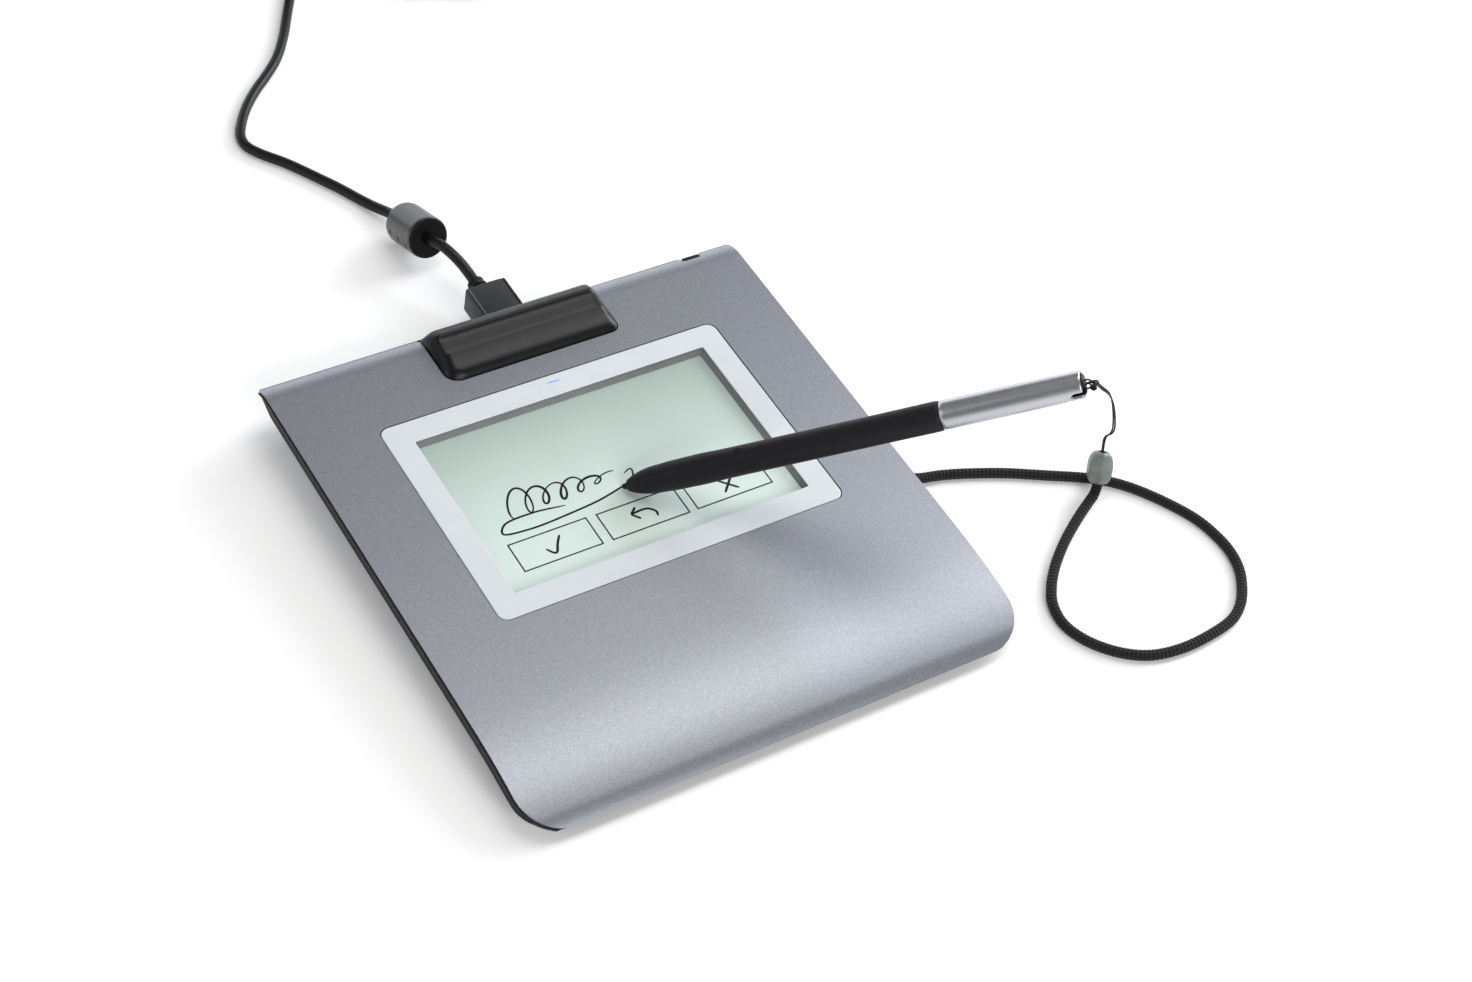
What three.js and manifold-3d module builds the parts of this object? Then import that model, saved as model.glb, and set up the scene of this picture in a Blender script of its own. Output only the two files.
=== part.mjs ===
// Signature pad with its pen, pen tether and USB cable.
// All lengths are in millimetres. X is to the right, Y is to the back and Z is up.
// The origin is under the middle of the front foot, on the table.

import * as THREE from 'three';
import Module from 'manifold-3d';
import { mergeVertices } from 'three/addons/utils/BufferGeometryUtils.js';

const wasm = await Module();
wasm.setup();

// General clearances and angles
const gap = 0.3;
const embed = 0.5;
const beyond = 60;
const padTilt = THREE.MathUtils.degToRad(2.5);
const quarterTurn = Math.PI / 2;
const fullTurn = Math.PI * 2;

// Pad shell, in the pad's own frame: Y runs back from the nose, Z up from the flat top
const padWidth = 161;
const halfWidth = padWidth / 2;
const coverThick = 1;
const noseEdgeY = -1.7;
const noseRadius = 12;
const noseTurn = 0.75;
const rollRadius = 85;
const rollTurn = 0.306;
const lipStartY = 159.8;
const lipRadius = 14;
const lipTurn = 0.52;
const frontCornerRadius = 12.1;
const rearCornerRadius = 2;
const topLift = 10.589;
const noseToFoot = 19;

// Bezel and window
const bezelFrontY = 61.2;
const bezelFromSide = 24.05;
const bezelFromLip = 22.2;
const bezelCorner = 5.5;
const bezelThick = 1.3;
const flangeWide = 1.5;
const flangeThick = 1;
const bezelRimLeft = 8;
const bezelRimRight = 7.9;
const windowFrontY = 68.8;
const windowFromBezelBack = 7.95;
const windowCorner = 0.4;

// Parts of the screen, from the top down
const screenTopZ = -2.6;
const screenThick = 1;
const screenPastSide = 3.5;
const screenPastWindow = 3.075;
const screenCorner = 2;
const panelThick = 2.2;
const panelPastSide = 1.5;
const panelPastWindow = 1.375;
const lcdFrameRim = 2.4;
const boardThick = 0.8;
const boardPastSide = 6.5;
const boardPastWindow = 6.575;
const connectorHigh = 0.9;
const shieldThick = 0.4;
const shieldInset = 1;
const shieldSlotWide = 6;
const shieldSlotMargin = 8;

// Status light
const lightX = -0.3;
const lightFromBezelBack = 2.8;
const lightLong = 5.1;
const lightWide = 0.8;
const lightDeep = 5.2;
const ledLong = 1.6;
const ledWide = 0.8;
const ledHigh = 0.6;

// Base shell
const rimTopOffset = 1.7;
const rimBottomOffset = 2.7;
const stepBottomOffset = 4.2;
const rimInset = 0.4;
const stepInset = 0.9;
const stepWide = 1.2;
const stepFromLip = 8.8;
const rimPastLip = 4.4;
const tubFromSide = 11;
const tubFrontY = 9;
const tubPastLip = 2.9;
const tubWall = 2;
const tubCorner = 8;
const floorLift = 1.5;
const ribThick = 1.5;
const ribX = 40;
const ribFrontY = 66;
const ribFromBezelBack = 4.6;

// Screws of the case
const caseScrewFromWall = 6.5;
const caseScrewFrontY = 30;
const caseScrewFromRear = 14.7;
const postTopZ = -6.5;
const postRadius = 3.8;
const wellTopZ = -8.3;
const wellRadius = 2.8;
const bossRadius = 3;
const screwHoleRadius = 1.4;
const bossHoleTopZ = -2.2;
const screwHeadRadius = 2.4;
const screwHeadHigh = 1.6;
const screwShankRadius = 1.1;
const screwShankTopZ = -3;
const driveRadius = 1.1;
const driveDeep = 0.9;

// Main board at the back, its screws and its ribbon, which has its Y from the bezel's back edge
const mainBoardTopZ = -10.8;
const mainBoardThick = 1.2;
const mainBoardLeft = -38;
const mainBoardRight = 38;
const mainBoardFromRear = 2.5;
const mainBoardDeep = 15.8;
const chipWide = 9;
const chipHigh = 1.2;
const chipXs = [-22, 20];
const chipFromRear = 11.2;
const boardScrewXs = [-33, 33];
const boardScrewFromRears = [15.3, 5.3];
const boardPostRadius = 2.4;
const boardHoleRadius = 1.1;
const boardHeadRadius = 1.7;
const boardHeadHigh = 1;
const boardShankRadius = 0.8;
const boardShankLong = 2.6;
const ribbonHalfWide = 12;
const ribbonThick = 0.3;
const ribbonPath = [
  [-1, -6.8],
  [1.8, -6.8],
  [4.6, -8.2],
  [5.6, -9.9],
  [7.6, -10.2],
  [11.9, -10.35],
];

// Micro USB socket and the plug's metal shell
const plugX = 2.35;
const plugZ = -9;
const plugShellWide = 6.85;
const plugShellHigh = 1.8;
const plugShellLong = 6.2;
const shellWall = 0.3;
const socketWall = 0.25;
const socketFromRear = 2.3;
const socketLong = 5.4;

// Plug body and its strain relief
const plugWide = 12.8;
const plugHigh = 9.3;
const plugLong = 20.2;
const plugTopWide = 11.4;
const plugRidge = 0.7;
const plugBottomWide = 12;
const plugTaperHigh = 0.6;
const reliefBore = 2;
const reliefProfile = [
  [0, 2.9],
  [1.1, 2.9],
  [1.3, 2.4],
  [1.9, 2.4],
  [2.1, 2.8],
  [3, 2.8],
  [3.2, 2.4],
  [3.8, 2.4],
  [4, 2.65],
  [5, 2.6],
];

// Pen tray at the back edge, with Y from the start of the rear lip
const trayCentreX = 0.2;
const trayWide = 57.9;
const trayWall = 1.2;
const trayFrontLeftRadius = 4.5;
const trayFrontRightRadius = 3;
const trayRearRadius = 1.6;
const trayFlange = 2;
const trayFlangeTopZ = -1.3;
const trayFlangeBottomZ = -2.3;
const trayFlangePastLip = 0.6;
const trayTop = [
  [-13.8, 0.15],
  [-13.3, 0.62],
  [-12.1, 0.95],
  [-8.6, 1.5],
  [-5.1, 1.7],
  [-4.1, 1.5],
  [-1.6, 0.6],
  [0.4, 0.45],
  [2.4, 1],
  [3.7, 1.9],
  [4.4, 2.2],
  [5.6, 1.8],
  [6.6, 0.5],
  [7.4, -1],
  [7.6, -3.2],
];
const trayUnder = [
  [6.4, -3.2],
  [6.2, -1.2],
  [5.5, -0.3],
  [4.5, 0.7],
  [3.8, 0.55],
  [2.8, -0.2],
  [0.6, -0.75],
  [-1.9, -0.6],
  [-4.8, 0.3],
  [-8.6, 0.2],
  [-12.6, -0.6],
  [-12.6, -2.3],
  [-13.8, -2.3],
];
const trayEnd = [
  [5, -3.2],
  [5, -1.2],
  [0.6, -1.2],
  [0.6, -2.3],
  [-13.8, -2.3],
];

// Lock slot at the back right
const lockFromWall = 3.65;
const lockSlotWide = 7;
const lockSlotHigh = 3;
const lockSlotZ = -5.4;
const lockNotchPastLip = 4.7;
const lockNotchCorner = 1.2;
const lockBayLeftOf = 8.85;
const lockBayRightOf = 8.65;
const lockBayFromRear = 12.7;
const lockBayTopZ = -2.4;
const lockBayBottomZ = -10.2;
const lockPlateThick = 1.2;
const lockPlateHalfWide = 5.6;
const lockPlateHalfHigh = 2.4;

// Rubber feet
const footHigh = 2.2;
const footPocketZ = 2.5;
const frontFootWide = 60;
const frontFootDeep = 8;
const footCorner = 3.9;
const rearFootRadius = 6.5;
const rearFootFromWall = 22.5;
const rearFootFromLip = 31.8;

// Tether anchor in the right wall of the base
const anchorY = 68.5;
const anchorHigh = 4.89;
const anchorShankRadius = 2.3;
const anchorFlangeRadius = 3;
const anchorFlangeThick = 1.2;
const stopRadius = 2.5;
const stopLong = 4;

// Pen, with its point's X from the right edge of the window, lengths from that point and radii
const penTip = [-49.6, 91.85, -1.84];
const penRise = THREE.MathUtils.degToRad(29.35);
const penAzimuth = THREE.MathUtils.degToRad(-33.72);
const gripOuter = [
  [2.2, 1.45],
  [3, 1.95],
  [4, 2.5],
  [5, 2.9],
  [6, 3.25],
  [8, 3.72],
  [10, 4],
  [13, 4.15],
  [16, 4.35],
  [20, 4.42],
  [25, 4.5],
  [32, 4.34],
  [60, 4.3],
  [95.2, 4.34],
  [96, 4.2],
];
const gripNeck = [
  [96, 2.95],
  [104, 2.95],
];
const gripInner = [
  [104, 2.1],
  [90, 2.1],
  [89, 3.3],
  [14, 3.3],
  [9, 2.9],
  [7, 1.2],
  [2.2, 1.2],
];
const barrelOuter = [
  [96.3, 4.12],
  [97, 4.22],
  [112, 4.2],
  [120, 4.16],
  [130, 4.05],
  [135.8, 3.92],
  [136.4, 3.55],
];
const barrelInner = [
  [136.4, 3.3],
  [96.3, 3.3],
];
const barrelSlotStart = 133.2;
const barrelSlotWide = 2.2;
const endPlugProfile = [
  [126, 0],
  [126, 2.6],
  [127, 3],
  [136.6, 3],
  [137.1, 2.6],
  [137.1, 0],
];
const endPlugCoreRadius = 1.1;
const endPlugCoreStart = 129;
const nibProfile = [
  [0, 0],
  [0.12, 0.45],
  [0.45, 0.78],
  [0.9, 0.9],
  [25.7, 0.9],
  [25.7, 0],
];
const nibHolderProfile = [
  [28, 0],
  [28, 1.25],
  [23, 1.25],
  [23, 2.5],
  [28.9, 2.5],
  [28.9, 0],
];
const pressureProfile = [
  [26.6, 0],
  [26.6, 0.9],
  [27.7, 0.9],
  [27.7, 0],
];
const penFerriteBore = 1.2;
const penFerriteRadius = 1.9;
const penFerriteFrom = 10.4;
const penFerriteTo = 21.6;
const penCoilBore = 2.2;
const penCoilRadius = 2.7;
const penCoilFrom = 11.6;
const penCoilTo = 20.4;
const penBoardFrom = 33;
const penBoardTo = 84;
const penBoardWide = 5.8;
const penBoardThick = 0.9;
const penChipLong = 6;
const penChipHigh = 0.9;
const penChipAts = [42, 58, 72];

// Tether cord, bead and string, with X from the wall of the base that the cord leaves
const tetherRadius = 1.6;
const tetherRoute = [
  [-2.2, 49.74, 6.39],
  [2.9, 49.74, 6.39],
  [7.5, 49.5, 5.6],
  [12.5, 48.4, 3.9],
  [18.4, 46.7, 2.3],
  [25.9, 45.3, 1.65],
  [32.9, 42.9, 1.62],
  [44.8, 37.7, 1.62],
  [56.1, 31.5, 1.62],
  [66.9, 25.4, 1.62],
  [72.3, 21.4, 1.62],
  [77.5, 15.9, 1.62],
  [83.2, 7.1, 1.62],
  [87.8, -2.9, 1.62],
  [89.2, -10.4, 1.62],
  [89.2, -17.5, 1.62],
  [87.3, -24.4, 1.62],
  [83.3, -30.8, 1.62],
  [78.4, -36, 1.62],
  [72.6, -39.4, 1.62],
  [63.1, -41.3, 1.62],
  [50.8, -41.7, 1.62],
  [40.7, -39.5, 1.62],
  [33, -34.3, 1.62],
  [27.2, -26.5, 1.62],
  [25.2, -19, 1.62],
  [26.8, -11.7, 1.62],
  [30.5, -6, 1.62],
  [35.9, -0.3, 1.62],
  [43.6, 5.9, 1.62],
  [50, 10.2, 1.62],
  [56.3, 14, 1.65],
  [61.1, 16.6, 1.9],
  [63.9, 17.9, 2.9],
  [65.55, 19.2, 5.1],
  [66.37, 20.54, 7.89],
  [66.65, 21, 8.84],
];
const tetherSteps = 44;
const beadFoot = [65.55, 19.2, 5.1];
const beadAzimuth = THREE.MathUtils.degToRad(58.6);
const beadRise = THREE.MathUtils.degToRad(60.6);
const beadOuter = [
  [0, 3.2],
  [1, 3.9],
  [3.2, 4.5],
  [7.4, 4.55],
  [10, 3.9],
  [11.5, 2.9],
];
const beadInner = [
  [11.5, 1.2],
  [4.8, 1.2],
  [4.8, 2.3],
  [0, 2.3],
];
const stringRadius = 0.45;
const stringRoute = [
  [29.04, 3.51, 77.14],
  [30.1, 2.77, 77.83],
  [31.9, 2.6, 77.3],
  [33.7, 3.3, 74.9],
  [37.3, 4.3, 70.9],
  [41.5, 5.8, 66.4],
  [46.9, 8.6, 59.4],
  [52.3, 11.6, 51.3],
  [58.6, 15, 39.9],
  [62.7, 17.6, 31.6],
  [66.5, 21.5, 24.5],
  [69, 24.7, 19.6],
  [69.25, 25.2, 17.4],
  [68.57, 24.15, 15.38],
];
const stringSteps = 24;

// USB cable from the plug, through the ferrite, to the coil, with Y from the back of the plug
const cableRadius = 1.7;
const leadRoute = [
  [2.35, 0.43, 9.6],
  [2.35, 4.43, 9.77],
  [2.15, 8.18, 10.5],
  [1.3, 12.38, 11.9],
  [-0.3, 16.98, 13.4],
  [-1.6, 20.48, 13.95],
  [-2.6, 23.18, 13.5],
  [-2.87, 26.23, 12.4],
];
const leadSteps = 9;
const ferriteFace = [-2.88, 26.53, 12.3];
const ferriteAzimuth = THREE.MathUtils.degToRad(91);
const ferriteRise = THREE.MathUtils.degToRad(-20);
const ferriteProfile = [
  [0, 0],
  [0, 5.5],
  [0.3, 6.1],
  [1, 6.4],
  [15.6, 6.4],
  [17.1, 5.8],
  [18, 4.4],
  [18, 0],
];
const runRoute = [
  [-3.18, 43.78, 6.03],
  [-3.25, 46.98, 4.87],
  [-4.3, 51.98, 3.3],
  [-6.4, 57.18, 2.2],
  [-9.1, 63.18, 1.75],
  [-12.2, 69.68, 1.72],
  [-15.6, 75.78, 1.72],
  [-22.6, 87.68, 1.72],
  [-28.5, 95.68, 1.72],
  [-30.8, 100.68, 1.72],
  [-30.3, 105.98, 1.72],
  [-26.9, 112.48, 1.72],
  [-22.1, 119.08, 1.72],
  [-16.1, 125.48, 1.72],
  [-8.9, 131.98, 1.72],
  [-2.2, 138.88, 1.72],
  [4.6, 148.48, 1.72],
  [11, 159.18, 1.72],
  [17, 169.18, 1.75],
  [25.4, 182.28, 2.4],
  [31.8, 192.18, 2.98],
  [35.2, 197.48, 3],
];
const runSteps = 26;

// Coil of spare cable, flat on the table behind the pad
const coilCentre = [18.4, 215.78, 3];
const coilInnerRadius = 14;
const coilPitch = 4;
const coilLayerPitch = 4;
const coilTurnsPerLayer = 2.5;
const coilLayers = 4;
const coilEndShare = 0.978;
const coilStepsPerTurn = 24;
const coilEntryAngle = THREE.MathUtils.degToRad(-32.6);
const coilLead = 6;
const tailLongs = [7, 15, 24, 33, 42, 47, 51];
const tailDropShares = [0.03, 0.2, 0.55, 0.86, 0.99, 1, 1];
const tailEndZ = 4;
const tieThick = 0.8;
const tieClear = 0.5;
const tieWide = 5;
const tieAngle = THREE.MathUtils.degToRad(57.4);

// USB A plug at the far end
const bigPlugWide = 15.6;
const bigPlugHigh = 7.6;
const bigPlugLong = 20;
const bigPlugCorner = 2;
const bigShellWide = 12;
const bigShellHigh = 4.5;
const bigShellLong = 18.5;
const bigInsertHigh = 1.7;
const bigReliefProfile = [
  [0, 2.3],
  [2.4, 2.6],
  [2.6, 2.2],
  [3.4, 2.2],
  [3.6, 2.8],
  [5.2, 2.9],
  [5.4, 2.4],
  [6.2, 2.4],
  [6.4, 3.1],
  [9, 3.2],
];

// Fineness of round shapes
const arcSteps = 6;
const roundSides = 20;
const smallSides = 12;
const beadSides = 6;
const tubeSides = 8;
const coilSides = 6;
const noseSteps = 5;
const rollSteps = 8;
const lipSteps = 5;

// Places that follow from the sizes above
const noseCentreZ = -rollRadius * (1 - Math.cos(rollTurn)) - noseRadius * Math.cos(rollTurn);
const noseCentreY = noseEdgeY + noseRadius * Math.sin(noseTurn);
const rollStartY = noseCentreY + (rollRadius - noseRadius) * Math.sin(rollTurn);
const lipEndY = lipStartY + lipRadius * Math.sin(lipTurn);
const bezelWide = padWidth - bezelFromSide - bezelFromSide;
const windowLeft = bezelRimLeft - bezelWide / 2;
const windowRight = bezelWide / 2 - bezelRimRight;
const windowWide = windowRight - windowLeft;
const screenWide = windowWide + screenPastSide + screenPastSide;
const panelWide = windowWide + panelPastSide + panelPastSide;
const boardWide = windowWide + boardPastSide + boardPastSide;
const tubHalfWidth = halfWidth - tubFromSide;
const caseScrewX = tubHalfWidth - caseScrewFromWall;
const lockX = tubHalfWidth - lockFromWall;
const lockBayLeft = lockX - lockBayLeftOf;
const lockBayRight = lockX + lockBayRightOf;
const rearFootX = tubHalfWidth - rearFootFromWall;
const pastWall = ([x, y, z]) => [tubHalfWidth + x, y, z];
const tetherLine = tetherRoute.map(pastWall);
const stringLine = stringRoute.map(pastWall);
const penPoint = [windowRight + penTip[0], penTip[1], penTip[2]];
const bezelBackY = lipStartY - bezelFromLip;
const windowBackY = bezelBackY - windowFromBezelBack;
const windowDeep = windowBackY - windowFrontY;
const screenDeep = windowDeep + screenPastWindow + screenPastWindow;
const panelDeep = windowDeep + panelPastWindow + panelPastWindow;
const boardDeep = windowDeep + boardPastWindow + boardPastWindow;
const lightY = bezelBackY - lightFromBezelBack;
const ribBackY = bezelBackY - ribFromBezelBack;
const stepEndY = lipStartY - stepFromLip;
const rimEndY = lipStartY + rimPastLip;
const tubRearY = lipStartY + tubPastLip;
const caseScrewYs = [caseScrewFrontY, tubRearY - caseScrewFromRear];
const mainBoardBackY = tubRearY - mainBoardFromRear;
const mainBoardFrontY = mainBoardBackY - mainBoardDeep;
const chipY = tubRearY - chipFromRear;
const boardScrewYs = boardScrewFromRears.map((from) => tubRearY - from);
const ribbonLine = ribbonPath.map(([y, z]) => [bezelBackY + y, z]);
const socketFrontY = tubRearY - socketFromRear;
const fromLip = (points) => points.map(([y, z]) => [lipStartY + y, z]);
const trayTopLine = fromLip(trayTop);
const trayUnderLine = fromLip(trayUnder);
const trayEndLine = fromLip(trayEnd);
const trayFlangeEndY = lipStartY + trayFlangePastLip;
const lockNotchFrontY = lipStartY + lockNotchPastLip;
const lockBayFrontY = tubRearY - lockBayFromRear;
const rearFootY = lipStartY - rearFootFromLip;
const screenMiddleX = (windowLeft + windowRight) / 2;
const screenMiddleY = (windowFrontY + windowBackY) / 2;
const panelTopZ = screenTopZ - screenThick - gap;
const boardTopZ = panelTopZ - panelThick - gap;
const shieldTopZ = boardTopZ - boardThick - gap;
const plugFrontY = tubRearY + gap;
const plugShellFrontY = plugFrontY - gap - plugShellLong;
const coilOuterRadius = coilInnerRadius + coilPitch * coilTurnsPerLayer;
const coilTopZ = coilCentre[2] + coilLayerPitch * (coilLayers - 1);

const padMatrix = new THREE.Matrix4().compose(
  new THREE.Vector3(0, -noseToFoot, topLift),
  new THREE.Quaternion().setFromAxisAngle(new THREE.Vector3(1, 0, 0), padTilt),
  new THREE.Vector3(1, 1, 1),
);

// Height of the flat underside in the pad's frame
const floorZ = (y) => (floorLift - topLift - y * Math.sin(padTilt)) / Math.cos(padTilt);
const anchorZ = floorZ(anchorY) + anchorHigh;

// The cable starts at the back of the plug, and its routes keep their heights over the table
const cableExit = new THREE.Vector3(plugX, plugFrontY + plugLong, plugZ).applyMatrix4(padMatrix);
const exitRise = cableExit.z - leadRoute[0][2];
const pastExit = ([x, y, z]) => [x, cableExit.y + y, z];
const leadLine = leadRoute.map(pastExit).map(([x, y, z], i) => {
  const left = 1 - i / (leadRoute.length - 1);
  return [x, y, z + exitRise * left];
});
const runLine = runRoute.map(pastExit);
const coilMiddle = pastExit(coilCentre);

// Looks
const look = (color, roughness, metalness) =>
  new THREE.MeshStandardMaterial({ color, roughness, metalness });
const looks = {
  shell: [0x8a8d95, 0.42, 0.55],
  bezel: [0xdee2e8, 0.4, 0.1],
  screen: [0xbfcfc3, 0.25, 0],
  lcd: [0x9aa89f, 0.3, 0.1],
  blue: [0x3f7df0, 0.3, 0],
  led: [0xe8ecf2, 0.4, 0],
  board: [0x1f5a3a, 0.55, 0.1],
  steel: [0xb4b7bb, 0.35, 0.9],
  screw: [0x5b5e63, 0.35, 0.9],
  ribbon: [0xb9742c, 0.5, 0.1],
  base: [0x3c3e43, 0.6, 0],
  tray: [0x17181b, 0.38, 0],
  rubber: [0x1c1c1e, 0.85, 0],
  plug: [0x3a3c41, 0.55, 0],
  ferrite: [0x2a2d33, 0.4, 0],
  cable: [0x26272b, 0.5, 0],
  cord: [0x131315, 0.9, 0],
  bead: [0x767e7a, 0.35, 0],
  grip: [0x202125, 0.6, 0],
  barrel: [0xa7aaaf, 0.32, 0.75],
  core: [0x111214, 0.6, 0],
  copper: [0xb87038, 0.35, 0.8],
  core_grey: [0x4a4c50, 0.6, 0.1],
  white: [0xe6e6e2, 0.5, 0],
};

function piece(name, geometry, key) {
  const mesh = new THREE.Mesh(geometry, look(...looks[key]));
  mesh.name = name;
  return mesh;
}

// Closed solids for joining and cutting
function solid(geometry) {
  const bare = geometry.clone();
  bare.deleteAttribute('normal');
  bare.deleteAttribute('uv');
  const welded = mergeVertices(bare);
  return new wasm.Manifold(
    new wasm.Mesh({
      numProp: 3,
      vertProperties: new Float32Array(welded.attributes.position.array),
      triVerts: new Uint32Array(welded.index.array),
    }),
  );
}

function surface(body) {
  const mesh = body.getMesh();
  const geometry = new THREE.BufferGeometry();
  geometry.setAttribute('position', new THREE.BufferAttribute(new Float32Array(mesh.vertProperties), 3));
  geometry.setIndex(new THREE.BufferAttribute(new Uint32Array(mesh.triVerts), 1));
  geometry.computeVertexNormals();
  return geometry;
}

const joined = (...geometries) => geometries.map(solid).reduce((all, one) => all.add(one));

// Flat outlines
function outline(points) {
  return new THREE.Shape(points.map(([a, b]) => new THREE.Vector2(a, b)));
}

function roundedRectangle(left, right, front, back, radii) {
  const [frontLeft, frontRight, backRight, backLeft] = radii;
  const shape = new THREE.Shape();
  shape.moveTo(left + frontLeft, front);
  shape.lineTo(right - frontRight, front);
  shape.absarc(right - frontRight, front + frontRight, frontRight, -quarterTurn, 0);
  shape.lineTo(right, back - backRight);
  shape.absarc(right - backRight, back - backRight, backRight, 0, quarterTurn);
  shape.lineTo(left + backLeft, back);
  shape.absarc(left + backLeft, back - backLeft, backLeft, quarterTurn, Math.PI);
  shape.lineTo(left, front + frontLeft);
  shape.absarc(left + frontLeft, front + frontLeft, frontLeft, Math.PI, Math.PI + quarterTurn);
  return shape;
}

const sameCorners = (radius) => [radius, radius, radius, radius];

// Blocks, prisms and turned pieces
function block(left, right, front, back, bottom, top) {
  const geometry = new THREE.BoxGeometry(right - left, back - front, top - bottom);
  return geometry.translate((left + right) / 2, (front + back) / 2, (bottom + top) / 2);
}

function prism(shape, bottom, top) {
  const geometry = new THREE.ExtrudeGeometry(shape, {
    depth: top - bottom,
    bevelEnabled: false,
    curveSegments: arcSteps,
  });
  return geometry.translate(0, 0, bottom);
}

const acrossX = new THREE.Matrix4().makeBasis(
  new THREE.Vector3(0, 1, 0),
  new THREE.Vector3(0, 0, 1),
  new THREE.Vector3(1, 0, 0),
);
const backToFront = new THREE.Matrix4().makeBasis(
  new THREE.Vector3(1, 0, 0),
  new THREE.Vector3(0, 0, 1),
  new THREE.Vector3(0, -1, 0),
);

function sectionAcross(points, left, right) {
  return prism(outline(points), left, right).applyMatrix4(acrossX);
}

function sectionAlong(shape, front, back) {
  return prism(shape, -back, -front).applyMatrix4(backToFront);
}

function turned(profile, sides) {
  const points = profile.map(([along, radius]) => new THREE.Vector2(radius, along));
  return new THREE.LatheGeometry(points, sides);
}

const turnedRing = (profile, sides) => turned([...profile, profile[0]], sides);

function upright(radius, x, y, bottom, top, sides) {
  const profile = [
    [bottom, 0],
    [bottom, radius],
    [top, radius],
    [top, 0],
  ];
  return turned(profile, sides).rotateX(quarterTurn).translate(x, y, 0);
}

function sleeve(bore, radius, from, to, sides) {
  const profile = [
    [from, bore],
    [from, radius],
    [to, radius],
    [to, bore],
  ];
  return turnedRing(profile, sides);
}

function tube(route, radius, sides, steps) {
  const path = new THREE.CatmullRomCurve3(route.map((p) => new THREE.Vector3(...p)));
  path.arcLengthDivisions = steps * sides;
  const corners = Array.from({ length: sides }, (_, i) => [
    radius * Math.cos((i * fullTurn) / sides),
    radius * Math.sin((i * fullTurn) / sides),
  ]);
  return new THREE.ExtrudeGeometry(outline(corners), { steps, bevelEnabled: false, extrudePath: path });
}

function aimed(name, point, azimuth, rise) {
  const group = new THREE.Group();
  group.name = name;
  group.position.set(...point);
  group.rotation.set(rise, 0, azimuth - quarterTurn, 'ZYX');
  return group;
}

// Side profile of the shell, moved inwards by an offset: nose, roll, flat top and rear lip
function profile(offset) {
  const points = [];
  for (let i = 0; i <= noseSteps; i += 1) {
    const turn = noseTurn - ((noseTurn - rollTurn) * i) / noseSteps;
    const radius = noseRadius - offset;
    points.push([noseCentreY - radius * Math.sin(turn), noseCentreZ + radius * Math.cos(turn)]);
  }
  for (let i = 1; i <= rollSteps; i += 1) {
    const turn = rollTurn * (1 - i / rollSteps);
    const radius = rollRadius - offset;
    points.push([rollStartY - radius * Math.sin(turn), radius * Math.cos(turn) - rollRadius]);
  }
  for (let i = 0; i <= lipSteps; i += 1) {
    const turn = (lipTurn * i) / lipSteps;
    const radius = lipRadius - offset;
    points.push([lipStartY + radius * Math.sin(turn), radius * Math.cos(turn) - lipRadius]);
  }
  return points;
}

const band = (top, bottom) => [...profile(top), ...profile(bottom).reverse()];

function padPlan(inset, backY) {
  const edge = halfWidth - inset;
  const front = frontCornerRadius - inset;
  const corners = [front, front, rearCornerRadius, rearCornerRadius];
  return prism(roundedRectangle(-edge, edge, noseEdgeY + inset, backY, corners), -beyond, beyond);
}

const traySides = [trayCentreX - trayWide / 2, trayCentreX + trayWide / 2];

function trayPlan(grow) {
  const [left, right] = traySides;
  const back = trayTopLine[trayTopLine.length - 1][0];
  return prism(
    roundedRectangle(left - grow, right + grow, trayTopLine[0][0] - grow, back + grow, [
      trayFrontLeftRadius + grow,
      trayFrontRightRadius + grow,
      trayRearRadius,
      trayRearRadius,
    ]),
    -beyond,
    beyond,
  );
}

const casePosts = caseScrewYs.flatMap((y) => [
  [-caseScrewX, y],
  [caseScrewX, y],
]);
const boardPosts = boardScrewYs.flatMap((y) => boardScrewXs.map((x) => [x, y]));

// Top cover: one curved sheet with its openings and the screw bosses under it
function topCover() {
  const sheet = solid(sectionAcross(band(0, coverThick), -beyond - halfWidth, beyond + halfWidth));
  const halfOpening = bezelWide / 2 + gap;
  const opening = prism(
    roundedRectangle(
      -halfOpening,
      halfOpening,
      bezelFrontY - gap,
      bezelBackY + gap,
      sameCorners(bezelCorner + gap),
    ),
    -beyond,
    beyond,
  );
  const notch = prism(
    roundedRectangle(
      lockX - lockSlotWide / 2,
      lockX + lockSlotWide / 2,
      lockNotchFrontY,
      lipEndY + beyond,
      sameCorners(lockNotchCorner),
    ),
    -beyond,
    beyond,
  );
  let body = sheet.intersect(solid(padPlan(0, lipEndY)));
  body = body.subtract(solid(opening)).subtract(solid(notch)).subtract(solid(trayPlan(gap)).add(solid(
    block(traySides[0] - gap, traySides[1] + gap, lipStartY, lipEndY + beyond, -beyond, beyond),
  )));
  for (const [x, y] of casePosts) {
    const boss = upright(bossRadius, x, y, postTopZ + gap, -embed, smallSides);
    const hole = upright(screwHoleRadius, x, y, -beyond, bossHoleTopZ, smallSides);
    body = body.add(solid(boss)).subtract(solid(hole));
  }
  return surface(body);
}

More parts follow.
